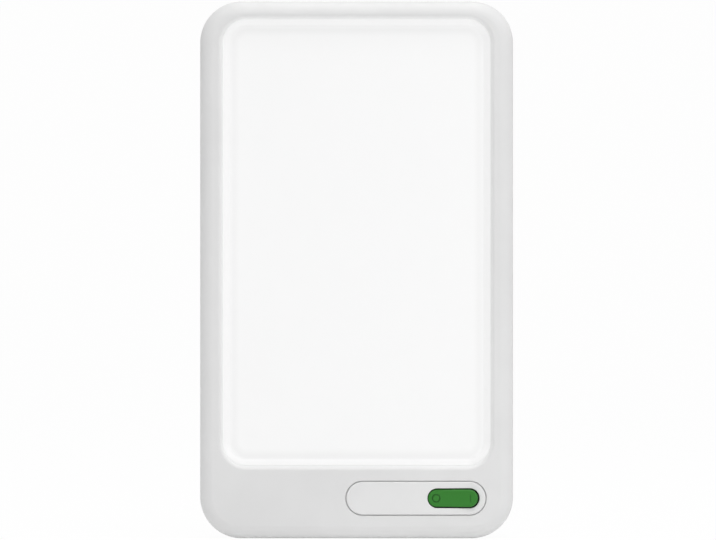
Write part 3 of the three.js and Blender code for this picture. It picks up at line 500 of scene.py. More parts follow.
@dataclass(frozen=True)
class Finish:
    """One finish: colour, gloss, relief and wear of a material slot, and the light it gives: lamp light on
    the panel, painted light on the housing.
    """

    slot: str
    colour: tuple
    roughness: float
    texture: Texture = Texture.GRAIN
    metallic: float = 0.0
    coat: float = 0.0
    specular: float = 0.5
    spread: float = 0.02
    grain: float = 0.5
    relief: float = 0.012
    wear: float = 0.04
    # Emission: the panel's lamp light; on the housing, painted light beside the window.
    lamp_and_painted_light: float = 0.0
    glow: Glow | None = None
    second: tuple = ()

    def pattern(self, graph: Graph, coords: bpy.types.NodeSocket) -> bpy.types.NodeSocket:
        """Height of the finish's relief, from 0 to 1.

        Args:
            graph: the material's nodes.
            coords: object coordinates in metres.

        Returns:
            The height socket.
        """
        scale = 1 / (self.grain * MM)
        if self.texture is Texture.BRUSHED:
            stretch = graph.node("ShaderNodeMapping")
            graph.feed(stretch, Vector=coords, Scale=Vector((Recipe.brushed_stretch, 1, 1)))
            return graph.noise(stretch.outputs[0], self.grain, Recipe.relief_detail)
        if self.texture is Texture.PEBBLE:
            cells = graph.node("ShaderNodeTexVoronoi", feature="SMOOTH_F1")
            return graph.feed(cells, Vector=coords, Scale=scale).outputs["Distance"]
        if self.texture is Texture.WOUND:
            turns = graph.node("ShaderNodeTexWave", bands_direction="X", wave_profile="SIN")
            graph.feed(turns, Vector=coords, Scale=scale / Recipe.wave_factor, Distortion=Recipe.wave_bend)
            return turns.outputs["Fac"]
        if self.texture is Texture.TRACKS:
            cells = graph.node("ShaderNodeTexVoronoi", distance="MANHATTAN", feature="F1")
            near = graph.feed(cells, Vector=coords, Scale=scale).outputs["Distance"]
            return graph.remap(near, *Recipe.track_edges, 0, 1)
        return graph.noise(coords, self.grain, Recipe.relief_detail)

    def marks(self, graph: Graph, coords: bpy.types.NodeSocket) -> bpy.types.NodeSocket:
        """Mask of the ring and the bar on the rocker, 1 on the marks.

        The ring is where the distance from its centre is within half a stroke of its radius. The bar is a
        short upright line at the other end.
        """
        parts = graph.feed(graph.node("ShaderNodeSeparateXYZ"), Vector=coords)
        across, up = parts.outputs[0], graph.minus(parts.outputs[2], Rocker.z * MM)
        radius, stroke = RockerMarks.radius * MM, RockerMarks.stroke * MM
        fade = [share * stroke for share in RockerMarks.stroke_fade]
        from_middle = graph.length(graph.minus(across, RockerMarks.ring_x * MM), up)
        ring = graph.remap(graph.size(graph.minus(from_middle, radius)), *fade, 1, 0)
        flat = graph.remap(graph.size(graph.minus(across, RockerMarks.bar_x * MM)), *fade, 1, 0)
        tall = graph.remap(graph.size(up), *[share * radius for share in RockerMarks.end_fade], 1, 0)
        bar = graph.times(graph.times(flat, tall), RockerMarks.bar_strength)
        return graph.math("MAXIMUM", ring, bar)

    def light(self, graph: Graph, coords: bpy.types.NodeSocket) -> object:
        """Strength of the finish's light: lamp light for the panel, painted light for the housing beside the
        window.

        The distance from the window is that of a rounded rectangle: the length of the part outside the box of
        its corners' centres, plus the lesser inside part, less the corner radius. On the housing, painted
        light fades out over a short reach beside the window. On the panel the light dips towards the foot of
        the bevel, painted shade in the crease, comes half way back on it, and fades towards the panel's lower
        edge, painted shade where the bevel faces up.

        Args:
            graph: the material's nodes.
            coords: object coordinates in metres.

        Returns:
            The strength, as a number or a socket.
        """
        if not self.glow:
            return self.lamp_and_painted_light
        lip, housing = Lip(), Housing()
        half = (housing.width / 2 - lip.side - lip.radius) * MM
        top, base = (housing.height - lip.top - lip.radius) * MM, (lip.base + lip.radius) * MM
        parts = graph.feed(graph.node("ShaderNodeSeparateXYZ"), Vector=coords)
        across = graph.minus(graph.size(parts.outputs[0]), half)
        up = graph.minus(graph.size(graph.minus(parts.outputs[2], (top + base) / 2)), (top - base) / 2)
        outside = graph.length(graph.math("MAXIMUM", across, 0.0), graph.math("MAXIMUM", up, 0.0))
        inside = graph.math("MINIMUM", graph.math("MAXIMUM", across, up), 0.0)
        distance = graph.minus(graph.math("ADD", outside, inside), lip.radius * MM)
        # Painted light: the housing brightens towards the window as if lit by the panel.
        if self.glow is Glow.PAINTED_LIP_LIGHT:
            return graph.remap(distance, 0.0, PanelLight.painted_lip_light_reach * MM, self.lamp_and_painted_light, 0)
        # Painted shade: the panel's light dips in the bevel's crease and at the panel's foot.
        start, deepest, end = (place * MM for place in PanelLight.painted_shade_places)
        dip = graph.remap(distance, start, deepest, 0, PanelLight.dip)
        rise = graph.remap(distance, deepest, end, 0, PanelLight.dip / 2)
        foot_top = (lip.base + PanelLight.painted_foot_shade_reach) * MM
        foot = graph.remap(parts.outputs[2], lip.base * MM, foot_top, PanelLight.foot, 0)
        return graph.minus(graph.minus(self.lamp_and_painted_light, graph.minus(dip, rise)), foot)

    def shade(self, factor: float) -> tuple:
        """The colour, lighter or darker by a factor."""
        return (*(min(channel * factor, 1) for channel in self.colour), 1)

    def material(self) -> bpy.types.Material:
        """Builds the node material.

        Colour is the written colour, a little lighter and darker in broad clouds, with faint scuffs.
        Roughness follows a middle-sized noise. Relief is a bump of the finish's own pattern.

        Returns:
            The material.
        """
        made = bpy.data.materials.new(f"{self.slot}_finish")
        graph = Graph(made)
        coords = graph.node("ShaderNodeTexCoord").outputs["Object"]
        broad = graph.remap(graph.noise(coords, Recipe.cloud_size), *Recipe.middle, 0, 1)
        scuffs = graph.noise(coords, Recipe.scuff_size, Recipe.scuff_detail, Recipe.scuff_bend)
        scuffs = graph.times(graph.remap(scuffs, *Recipe.scuff_edges, 0, 1), self.wear)
        height = self.pattern(graph, coords)
        colour = graph.mix(broad, self.shade(1 - self.spread), self.shade(1 + self.spread))
        if self.second:
            colour = graph.mix(height, (*self.second, 1), colour)
        colour = graph.mix(scuffs, colour, self.shade(Recipe.scuff_shade))
        if self.texture is Texture.MARKED:
            mask = graph.times(self.marks(graph, coords), Recipe.mark_strength)
            colour = graph.mix(mask, colour, self.shade(Recipe.mark_shade))
        rough = graph.remap(
            graph.noise(coords, Recipe.patch_size, Recipe.patch_detail), *Recipe.middle,
            self.roughness - Recipe.roughness_swing, self.roughness + Recipe.roughness_swing,
        )
        bump = graph.node("ShaderNodeBump")
        graph.feed(bump, Height=height, Distance=self.relief * MM, Strength=1.0)
        shader = graph.node("ShaderNodeBsdfPrincipled")
        # Emission is the panel's lamp light with painted shade, and painted light on the housing beside the
        # window.
        graph.feed(
            shader, Base_Color=colour, Roughness=graph.math("ADD", rough, scuffs), Metallic=self.metallic,
            Normal=bump.outputs[0], Emission_Color=(1, 1, 1, 1), Emission_Strength=self.light(graph, coords),
        )
        shader.inputs["Specular IOR Level"].default_value = self.specular
        shader.inputs["Coat Weight"].default_value = self.coat
        shader.inputs["Coat Roughness"].default_value = Recipe.coat_roughness
        graph.feed(graph.node("ShaderNodeOutputMaterial"), Surface=shader.outputs[0])
        return made


FINISHES = (
    # Housing: painted light beside the window, standing for light from the panel.
    Finish("housing", (0.73, 0.73, 0.73), 0.5, glow=Glow.PAINTED_LIP_LIGHT, lamp_and_painted_light=0.08),
    Finish("cover", (0.68, 0.68, 0.68), 0.52, relief=0.02, grain=0.6),
    Finish("plate", (0.75, 0.75, 0.75), 0.42),
    # Panel: the lamp's own light, with painted shade at the bevel's crease and at its foot.
    Finish("panel", (0.5, 0.5, 0.5), 0.38, specular=0.35, spread=0.004, relief=0.004, wear=0.01,
           glow=Glow.FLOOR, lamp_and_painted_light=0.435),
    Finish("switch", (0.026, 0.185, 0.018), 0.38, Texture.MARKED, spread=0.05, specular=0.3),
    Finish("black_plastic", (0.025, 0.025, 0.026), 0.5, spread=0.1),
    Finish("sheet", (0.56, 0.57, 0.58), 0.24, Texture.BRUSHED, metallic=1.0, relief=0.004),
    Finish("steel", (0.4, 0.41, 0.42), 0.32, Texture.BRUSHED, metallic=1.0, relief=0.004, grain=0.2,
           wear=0.2),
    Finish("brass", (0.54, 0.36, 0.1), 0.34, Texture.BRUSHED, metallic=1.0, relief=0.004, grain=0.2,
           wear=0.3),
    Finish("lamp_glass", (0.88, 0.885, 0.86), 0.22, coat=0.5, relief=0.002, wear=0.02),
    Finish("lamp_plastic", (0.78, 0.78, 0.73), 0.48),
    Finish("board", (0.047, 0.145, 0.068), 0.45, Texture.TRACKS, grain=2.4, relief=0.035,
           second=(0.075, 0.21, 0.1)),
    Finish("ferrite", (0.042, 0.044, 0.046), 0.55, Texture.WOUND, grain=0.8, relief=0.2,
           second=(0.3, 0.12, 0.05)),
    Finish("capacitor", (0.025, 0.058, 0.124), 0.32, coat=0.3, spread=0.08),
    Finish("terminal", (0.102, 0.255, 0.107), 0.46, spread=0.05),
    Finish("rubber", (0.043, 0.044, 0.048), 0.8, Texture.PEBBLE, spread=0.15, relief=0.06, wear=0.3),
)


@dataclass
class Wardrobe:
    """The finishes, made once, and the record's choice of finish for each CAD node."""

    materials: dict = field(default_factory=lambda: {each.slot: each.material() for each in FINISHES})

    def dress(self, made: bpy.types.Object, slot: str, body: str, *nodes: str) -> bpy.types.Object:
        """Finishes a new piece and ties it to the frame.

        Args:
            made: the piece.
            slot: its material slot.
            body: CAD body that it rides on.
            nodes: CAD nodes that it stands for.

        Returns:
            The piece.
        """
        made.data.materials.clear()
        made.data.materials.append(self.materials[slot])
        if nodes:
            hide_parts(*nodes)
        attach(made, body)
        log.info("%s: %d faces, %s", made.name, len(made.data.polygons), slot)
        return made

    def dress_nodes(self) -> None:
        """Gives each CAD node the finish that its record names."""
        for part in frame["record"]["subparts"]:
            node = frame["nodes"][part["node"]]
            material = self.materials[part["material_slot"]]
            if not node.material_slots:
                node.data.materials.append(material)
            for place in node.material_slots:
                place.material = material


# Sub-assemblies

@dataclass
class Housing:
    """Outline that the two mouldings share."""

    width: float = 204
    height: float = 350
    depth: float = 64
    corner: float = 27
    wall: float = 2.6
    parting: float = 36
    parting_gap: float = 0.5
    seam_round: float = 0.3
    boss_x: float = 90
    boss_heights: tuple = (40, 179, 318)
    boss_radius: float = 3.6
    boss_start: float = 14
    boss_end: float = 54.4
    seat: float = 58.4
    rim_steps: int = 14
    seam_steps: int = 3

    def rings(self, side: np.ndarray, base: np.ndarray, depth: np.ndarray) -> np.ndarray:
        """Rings of the outline, each moved in from the sides and top, and from the base, at its depth."""
        side, base, depth = np.broadcast_arrays(*map(np.atleast_1d, (side, base, depth)))
        radius = self.corner - side
        return rounded_rings(self.width / 2 - side, base, self.height - side, radius, radius, depth)

    def even(self, inset: np.ndarray, depth: np.ndarray) -> np.ndarray:
        """Rings moved in evenly on all four sides."""
        return self.rings(inset, inset, depth)

    def through(self) -> tuple:
        """Depths between which a cut goes through the back wall."""
        return self.depth - self.wall - PAST, self.depth + PAST

    @property
    def mid_wall(self) -> float:
        """Depth of the middle of the back wall."""
        return self.depth - self.wall / 2

    def boss_places(self) -> list:
        """Centres of the six screw posts."""
        return [(side * self.boss_x, z) for z in self.boss_heights for side in (-1, 1)]


@dataclass
class Lip:
    """Edge of the window round the panel."""

    side: float = 14.8
    top: float = 11.5
    base: float = 47.3
    radius: float = 15.6

    def rings(self, housing: Housing, inward: np.ndarray, depth: np.ndarray) -> np.ndarray:
        """Rings that follow the lip's edge, moved inward by the given distances."""
        inward, depth = np.broadcast_arrays(*map(np.atleast_1d, (inward, depth)))
        radius = self.radius - inward
        return rounded_rings(
            housing.width / 2 - self.side - inward, self.base + inward, housing.height - self.top - inward,
            radius, radius, depth,
        )


@dataclass
class Rocker:
    """Obround rocker with a dished face, two sunk marks, trunnions and a stem, tilted to its rest."""

    x: float = 63
    z: float = 26.4
    length: float = 32.4
    height: float = 11.4
    rise: float = 4.2
    dish: float = 1.2
    skirt: float = 1.5
    edge: float = 1.0
    wall: float = 1.6
    face_wall: float = 2.0
    pivot_depth: float = 3.4
    trunnion_radius: float = 1.2
    trunnion_length: float = 1.6
    stem_radius: float = 1.6
    stem_reach: float = 6
    stem_round: float = 0.4
    tilt: float = 6
    edge_steps: int = 6
    end_steps: int = 16
    side_steps: int = 24
    crown_rings: int = 8
    stem_steps: int = 24
    mark_steps: int = 64
    stroke_steps: int = 12

    def build(self) -> bpy.types.Object:
        """Lofts rings of the obround outline, raised to a dished face, and turns all about the pivot.

        The edge follows a quarter round, and further rings move in to the middle line. Below, the same
        outline goes in to a hollow. Trunnions and stem are bars along z and along the depth.
        """
        rise, inset = quarter(self.edge_steps)
        edge, stub = self.edge, self.height / 2
        over = np.linspace(edge, stub, self.crown_rings + 1)[1:]
        inward = np.concatenate([[self.wall, 0, 0], inset * edge, over])
        drop = np.concatenate([[0, 0, 0], (1 - rise) * edge, 0 * over])
        outline = (self.length, self.height)
        rings = obround_rings(*outline, inward, 0, 0, 0, self.end_steps, self.side_steps)
        skirt = obround_rings(*outline, self.wall, self.skirt, 0, 0, self.end_steps, self.side_steps)
        face, hollow = self.face(rings[:, :, 0]), self.face_wall - self.rise
        rings[:, :, 1] = face + drop[:, None]
        rings[0, :, 1] = hollow
        rings[1, :, 1] = self.skirt
        rings[2, :, 1] = face[2] + edge
        cap = loft(np.concatenate([rings[:1], skirt, rings[1:]]), last_face=False)
        radius, tip = self.stem_radius, self.stem_reach
        stem = turned(np.array([
            [radius, hollow - ROOT], [radius, tip - self.stem_round], [radius - self.stem_round, tip],
        ]), 0, 0, self.stem_steps)
        ends = [
            Surface(bar.points[:, [2, 1, 0]], bar.faces)
            for bar in side_bars(stub - ROOT, stub + self.trunnion_length, self.trunnion_radius, 0, 0)
        ]
        return moulded(
            "rocker_moulding", self.tilted(merged(cap, *ends, stem)),
            (Join.CUT, self.tilted(self.sunk_marks())),
        )

    def face(self, x: np.ndarray) -> np.ndarray:
        """Depth of the face: the rise, and the dish times the square of x over half the length."""
        return -(self.rise + self.dish * (2 * x / self.length) ** 2)

    def tilted(self, surface: Surface) -> Surface:
        """Surface about the rocker's pivot, turned to its rest and moved to its place."""
        turn = math.radians(-self.tilt)
        x, depth, z = surface.points.T
        points = [
            self.x + x * math.cos(turn) - depth * math.sin(turn),
            self.pivot_depth + x * math.sin(turn) + depth * math.cos(turn),
            self.z + z,
        ]
        return Surface(np.stack(points, axis=-1), surface.faces)

    def sunk_marks(self) -> Surface:
        """Ring and bar to sink in the rocker's face.

        The ring is a torus whose middle circle follows the dish: the depth of a point is the face's depth
        there plus the stroke's half width times the sine of the angle round the stroke. The bar is a small
        obround.
        """
        turn = math.radians(-self.tilt)
        shift = -(self.rise + self.dish / 2) * math.sin(turn) - self.x
        ring_x, bar_x = ((x + shift) / math.cos(turn) for x in (RockerMarks.ring_x, RockerMarks.bar_x))
        around, across = full_turn(self.mark_steps)[:, None], full_turn(self.stroke_steps)
        tall, stroke = RockerMarks.radius, RockerMarks.stroke / 2
        reach = tall + stroke * np.cos(across)
        x = ring_x + reach * np.cos(around)
        depth = self.face(x) + stroke * np.sin(across)
        ring = loft(np.stack([x, depth, reach * np.sin(around)], axis=-1), closed=True)
        face = self.face(bar_x)
        return merged(ring, prism(stroke, -tall, tall, stroke, face - ROOT, face + stroke, bar_x))


@dataclass
class Controls:
    """Obround plate at the foot, round the rocker, and the pocket, seat and opening behind it."""

    rocker: Rocker
    plate_x: float = 38.65
    plate_length: float = 90.7
    plate_height: float = 21.5
    plate_gap: float = 0.55
    plate_proud: float = 0.5
    plate_seat: float = 1.7
    plate_round: float = 0.9
    pocket_edge: float = 0.45
    pocket_lead: float = 1
    hole_gap: float = 0.75
    hole_round: float = 0.4
    pad_margin: float = 3
    pad_start: float = 1.5
    pad_depth: float = 5
    switch_length: float = 37.1
    switch_height: float = 16.7
    switch_gap: float = 0.3
    pocket_steps: int = 4
    plate_steps: int = 5

    def pocket(self) -> Surface:
        """Space cut out of the front moulding for the plate, with a rounded edge at the face."""
        gap, edge = 2 * self.plate_gap, self.pocket_edge
        rise, inset = quarter(self.pocket_steps)
        return loft(obround_rings(
            self.plate_length + gap, self.plate_height + gap,
            np.concatenate([[-edge - self.pocket_lead], -inset[::-1] * edge, [0]]),
            np.concatenate([[-self.pocket_lead], (1 - rise[::-1]) * edge, [self.plate_seat]]),
            self.plate_x, self.rocker.z,
        ))

    def switch_opening(self) -> Surface:
        """Hole behind the plate through which the switch body passes."""
        gap = 2 * self.switch_gap
        return loft(obround_rings(
            self.switch_length + gap, self.switch_height + gap, 0, np.array([0, self.pad_depth + PAST]),
            self.rocker.x, self.rocker.z,
        ))

    def pad(self) -> Surface:
        """Thickened seat behind the plate."""
        margin = 2 * self.pad_margin
        return loft(obround_rings(
            self.plate_length + margin, self.plate_height + margin, 0,
            np.array([self.pad_start, self.pad_depth]), self.plate_x, self.rocker.z,
        ))

    def plate(self) -> bpy.types.Object:
        """Plate: a ring of rings from its outer edge, over its face, into the rocker's hole and back.

        The outer and inner edges are quarter rounds. The face between them is flat, because both loops lie at
        one depth.
        """
        rise, inset = quarter(self.plate_steps)
        edge, hole, gap = self.plate_round, self.hole_round, 2 * self.hole_gap
        face = -self.plate_proud
        outer = obround_rings(
            self.plate_length, self.plate_height,
            np.concatenate([[0], inset * edge, [edge + SUPPORT]]),
            np.concatenate([[self.plate_seat], face + (1 - rise) * edge, [face]]),
            self.plate_x, self.rocker.z,
        )
        inner = obround_rings(
            self.rocker.length + gap, self.rocker.height + gap,
            np.concatenate([[-hole - SUPPORT], -inset[::-1] * hole, [0]]),
            np.concatenate([[face], face + (1 - rise[::-1]) * hole, [self.plate_seat]]),
            self.rocker.x, self.rocker.z,
        )
        return moulded("plate_moulding", loft(np.concatenate([outer, inner]), closed=True))


@dataclass
class FrontMoulding:
    """Front frame: crowned rim, rolled lip, pocket for the control plate and the bosses behind."""

    housing: Housing
    lip: Lip
    controls: Controls
    crown_width: float = 8.4
    crown_depth: float = 7
    crown_power: float = 1.75
    face: float = 3
    lip_width: float = 2.8
    lip_drop: float = 2.6
    lip_steps: int = 8
    shoulder_depth: float = 9
    rib: float = 2
    rib_low: float = 1
    rib_short: float = 4

    def build(self) -> bpy.types.Object:
        """Sweeps the rim's section round the housing, then cuts the plate's pocket.

        The crown goes from the side to the face as a quarter of an ellipse, flattened by raising sine and
        cosine to two over its power. The lip falls to the panel as the square of the share of its width.
        """
        housing, lip = self.housing, self.lip
        rise, inset = quarter(housing.rim_steps)
        crown_rise, crown_inset = rise ** (2 / self.crown_power), 1 - (1 - inset) ** (2 / self.crown_power)
        seam_rise, seam_inset = quarter(housing.seam_steps)
        roll = np.linspace(0, 1, self.lip_steps + 1)
        seam = housing.seam_round
        rings = np.concatenate([
            housing.even(seam_inset[::-1] * seam, housing.parting - seam + seam_rise[::-1] * seam),
            housing.even(crown_inset * self.crown_width, (1 - crown_rise) * self.crown_depth),
            housing.even(self.crown_width + SUPPORT, 0),
            lip.rings(housing, -self.lip_width - SUPPORT, 0),
            lip.rings(housing, (roll - 1) * self.lip_width, roll ** 2 * self.lip_drop),
            lip.rings(housing, 0, self.face),
            housing.even(self.crown_width - rise * (self.crown_width - housing.wall),
                         self.face + inset * (self.shoulder_depth - self.face)),
            housing.even(housing.wall, housing.parting),
        ])
        return moulded(
            "front_moulding", loft(rings, closed=True), (Join.ADD, self.controls.pad()),
            (Join.CUT, self.controls.pocket()), (Join.CUT, self.controls.switch_opening()),
            (Join.ADD, merged(*self.bosses())),
        )

    def bosses(self) -> list:
        """Screw bosses with the ribs that tie them to the side walls."""
        housing = self.housing
        made = []
        for x, z in housing.boss_places():
            edge = math.copysign(housing.width / 2 - housing.wall / 2, x)
            made.append(post(housing.boss_radius, x, z, housing.boss_start, housing.boss_end))
            made.append(block(
                min(x, edge), max(x, edge), housing.boss_start + self.rib_low,
                housing.parting - self.rib_short, z - self.rib / 2, z + self.rib / 2,
            ))
        return made


@dataclass
class OpalPanel:
    """Opal dish behind the lip: rim, soft bevel and flat floor."""

    housing: Housing
    lip: Lip
    rim_front: float = 3.3
    floor: float = 7
    thickness: float = 2
    bevel: float = 4.9
    rim: float = 2.9
    roll: float = 0.3
    bevel_steps: int = 18

    def build(self) -> bpy.types.Object:
        """Lofts the dish's front and back skins.

        Across the bevel the depth goes from the rim to the floor as 3u squared minus 2u cubed of the share u
        of the bevel's width.
        """
        share = np.linspace(0, 1, self.bevel_steps + 1)
        inward = np.concatenate([[-self.rim, -self.roll], share * self.bevel, [self.bevel + SUPPORT]])
        fall = np.concatenate([[0, 0], share ** 2 * (3 - 2 * share), [1]])
        depth = self.rim_front + fall * (self.floor - self.rim_front)
        front = self.lip.rings(self.housing, inward, depth)
        back = self.lip.rings(self.housing, inward, depth + self.thickness)
        return moulded("opal_dish", loft(np.concatenate([front[::-1], back])))


@dataclass
class LampGlass:
    """Twin glass tube of a lamp, bent over at its top."""

    radius: float = 8.75
    spacing: float = 20.5
    depth: float = 35
    base_top: float = 40.3
    top: float = 328
    pitch: float = 54
    bend_steps: int = 32
    round_steps: int = 40

    def build(self, index: int) -> bpy.types.Object:
        """Sweeps a circle up one tube, round the bend and down the other.

        Along the bend the circle's centre moves on a half circle, and the circle stays square to its path.

        Args:
            index: number of the lamp, from 1 at the left.

        Returns:
            The tube.
        """
        bend = self.spacing / 2
        turn = np.concatenate([[0], np.linspace(0, math.pi, self.bend_steps + 1), [math.pi]])[:, None]
        height = self.top - self.radius - bend + bend * np.sin(turn)
        height[[0, -1]] = self.base_top
        angle = full_turn(self.round_steps)
        across, along = self.radius * np.cos(angle), self.radius * np.sin(angle)
        rings = np.stack([
            (index - 2) * self.pitch + (across - bend) * np.cos(turn),
            self.depth + along + 0 * turn,
            height - across * np.sin(turn),
        ], axis=-1)
        return moulded(f"lamp_glass_{index}", loft(rings))


@dataclass
class Stand:
    """Fold-out leg with its barrel, ribs and pin holes, and the recess that takes it."""

    housing: Housing
    half: float = 40
    hinge_z: float = 205
    foot_z: float = 16.5
    tip_z: float = 15
    thickness: float = 5
    sink: float = 0.7
    corner: float = 12
    edge: float = 0.8
    skin: float = 2
    rim: float = 5
    rib: float = 1.8
    columns: int = 3
    rows: int = 5
    gap: float = 0.8
    floor_gap: float = 0.6
    pin_radius: float = 1.1
    pin_clear: float = 0.3
    pin_in_leg: float = 5
    recess_round: float = 0.2
    edge_steps: int = 5
    barrel_steps: int = 32

    @property
    def back(self) -> float:
        """Depth of the leg's outer face."""
        return self.housing.depth - self.sink

    @property
    def front(self) -> float:
        """Depth of the leg's hidden face."""
        return self.back - self.thickness

    @property
    def hinge_depth(self) -> float:
        """Depth of the hinge line."""
        return (self.front + self.back) / 2

    def leg(self) -> bpy.types.Object:
        """Leg: side sections swept across it, then cells and pin holes cut out.

        The foot's height follows the corner's circle, and the outer face draws in on a small circle at both
        sides. Each section runs up the hidden face, over the barrel as a half circle, down the outer face and
        round its low edge.
        """
        arc, arc_inset = quarter(self.edge_steps)
        straight = self.half - self.corner
        side = np.unique(np.concatenate([
            [0], straight + quarter(self.housing.rim_steps)[0] * self.corner,
            self.half - self.edge + arc * self.edge,
        ]).round(5))
        x = np.concatenate([-side[:0:-1], side])[:, None]
        low = self.foot_z + self.corner - circle(self.corner, np.abs(x) - straight)
        back = self.back - self.edge + circle(self.edge, np.abs(x) - self.half + self.edge)
        angle = np.linspace(0, math.pi, self.barrel_steps + 1)
        radius = (back - self.front) / 2
        depth = np.concatenate([
            0 * x + self.front, self.front + radius * (1 - np.cos(angle)), back - self.edge * arc_inset,
        ], axis=1)
        z = np.concatenate([low, self.hinge_z + radius * np.sin(angle), low + self.edge * (1 - arc)], axis=1)
        return moulded(
            "stand_moulding", loft(np.stack([0 * z + x, depth, z], axis=-1)),
            (Join.CUT, merged(*self.cells(), *self.pin_holes())),
        )

    def cells(self) -> list:
        """Pockets between the ribs on the hidden side."""
        width = 2 * (self.half - self.rim)
        low = self.foot_z + self.rim
        height = self.hinge_z - self.thickness - self.rim - low
        cell_width = (width - (self.columns - 1) * self.rib) / self.columns
        cell_height = (height - (self.rows - 1) * self.rib) / self.rows
        made = []
        for column in range(self.columns):
            for row in range(self.rows):
                x = -width / 2 + cell_width / 2 + column * (cell_width + self.rib)
                z = low + row * (cell_height + self.rib)
                corner = self.corner - self.rim if row == 0 else self.rib
                made.append(prism(
                    cell_width / 2, z, z + cell_height, corner, self.front - PAST, self.back - self.skin, x,
                ))
        return made

    def pin_holes(self) -> list:
        """Bores for the two hinge pins."""
        reach = self.half - self.pin_in_leg - self.pin_clear
        radius = self.pin_radius + self.pin_clear
        return side_bars(reach, self.half + PAST, radius, self.hinge_depth, self.hinge_z)

    def recess_box(self, wall: float = 0) -> tuple:
        """Half width, low edge, high edge and front depth of the recess with a wall round it."""
        return (
            self.half + self.gap + wall, self.tip_z - self.gap - wall,
            self.hinge_z + self.thickness / 2 + self.gap + wall, self.front - self.floor_gap - wall,
        )

    def recess(self) -> Surface:
        """Space cut out of the back for the leg."""
        half, low, high, start = self.recess_box()
        return loft(rounded_rings(
            half, low, high, self.recess_round, self.corner + self.gap,
            np.array([start, self.housing.depth + PAST]),
        ))


@dataclass
class Inlet:
    """Mains inlet: a shell with an obround socket and two round-nosed pins."""

    housing: Housing
    x: float = -72
    z: float = 26
    width: float = 24
    height: float = 14
    corner: float = 1.5
    sink: float = 0.4
    length: float = 13.6
    cavity_length: float = 17.2
    cavity_height: float = 8.8
    cavity_depth: float = 9
    edge: float = 0.4
    pin_spacing: float = 8.6
    pin_radius: float = 1.2
    pin_length: float = 8
    nose: float = 0.05
    edge_steps: int = 4
    corner_steps: int = 12
    nose_steps: int = 6
    pin_steps: int = 32

    def shell(self) -> bpy.types.Object:
        """Shell: rounded rectangles from the back to the face, then obrounds down to the cavity's floor."""
        face = self.housing.depth - self.sink
        half, tall = self.width / 2, self.height / 2
        rise, inset = quarter(self.edge_steps)
        drawn = np.concatenate([[0], inset * self.edge])
        corner = self.corner - drawn
        outer = rounded_rings(
            half - drawn, self.z - tall + drawn, self.z + tall - drawn, corner, corner,
            np.concatenate([[face - self.length], face - self.edge + rise * self.edge]), self.x,
            self.corner_steps,
        )
        inner = obround_rings(
            self.cavity_length, self.cavity_height,
            np.concatenate([-inset[::-1] * self.edge, [0]]),
            np.concatenate([face - (1 - rise[::-1]) * self.edge, [face - self.cavity_depth]]),
            self.x, self.z, self.corner_steps,
        )
        return moulded("inlet_moulding", loft(np.concatenate([outer, inner])))

    def pin(self, side: int) -> bpy.types.Object:
        """One contact pin: a bar whose nose is a quarter circle."""
        floor = self.housing.depth - self.sink - self.cavity_depth
        rise, inset = quarter(self.nose_steps)
        radius, tip = self.pin_radius, floor + self.pin_length
        rounding = np.stack([radius * (1 - inset), tip - radius + radius * rise], axis=-1)[:-1]
        profile = np.concatenate([[[radius, floor]], rounding, [[self.nose, tip]]])
        name, x = "left" if side < 0 else "right", self.x + side * self.pin_spacing / 2
        return moulded(f"inlet_contact_{name}", turned(profile, x, self.z, self.pin_steps))


@dataclass
class CoverScrew:
    """Pan-head screw with a cross recess."""

    housing: Housing
    head_radius: float = 3.4
    head_height: float = 2.4
    shank_radius: float = 1.6
    shank_length: float = 16
    slot_half: float = 0.42
    slot_reach: float = 1.9
    slot_depth: float = 1.3
    slot_wall: float = 0.12
    eye: float = 0.03
    edge_width: float = 0.35
    edge_height: float = 1.0
    crown: float = 0.5
    turns: int = 96
    rows: int = 22
    sharp: float = 40

    def build(self, index: int, x: float, z: float) -> bpy.types.Object:
        """Head as a polar grid, whose cross recess is sunk where either arm of the cross covers a point.

        The crown falls as the square of the radius. The recess goes down by a soft step of the distance from
        each arm's edge.
        """
        angle = full_turn(self.turns)
        radius = np.linspace(self.eye, self.head_radius - self.edge_width, self.rows)[:, None]
        px, pz = radius * np.cos(angle), radius * np.sin(angle)
        crown = self.head_height - self.crown * (radius / self.head_radius) ** 2 + 0 * px
        across = np.minimum(
            np.maximum(np.abs(px) - self.slot_half, np.abs(pz) - self.slot_reach),
            np.maximum(np.abs(pz) - self.slot_half, np.abs(px) - self.slot_reach),
        )
        top = crown - self.slot_depth * np.clip(0.5 - across / self.slot_wall, 0, 1)
        ring = np.array([
            [self.head_radius, self.head_height - self.edge_height], [self.head_radius, 0],
            [self.shank_radius, 0], [self.shank_radius, -self.shank_length],
        ])
        wall_x, wall_z = ring[:, :1] * np.cos(angle), ring[:, :1] * np.sin(angle)
        grid = np.stack([
            x + np.concatenate([px, wall_x]),
            self.housing.seat + np.concatenate([top, np.broadcast_to(ring[:, 1:], wall_x.shape)]),
            z + np.concatenate([pz, wall_z]),
        ], axis=-1)
        return moulded(f"cover_screw_head_{index}", loft(grid), degrees=self.sharp)


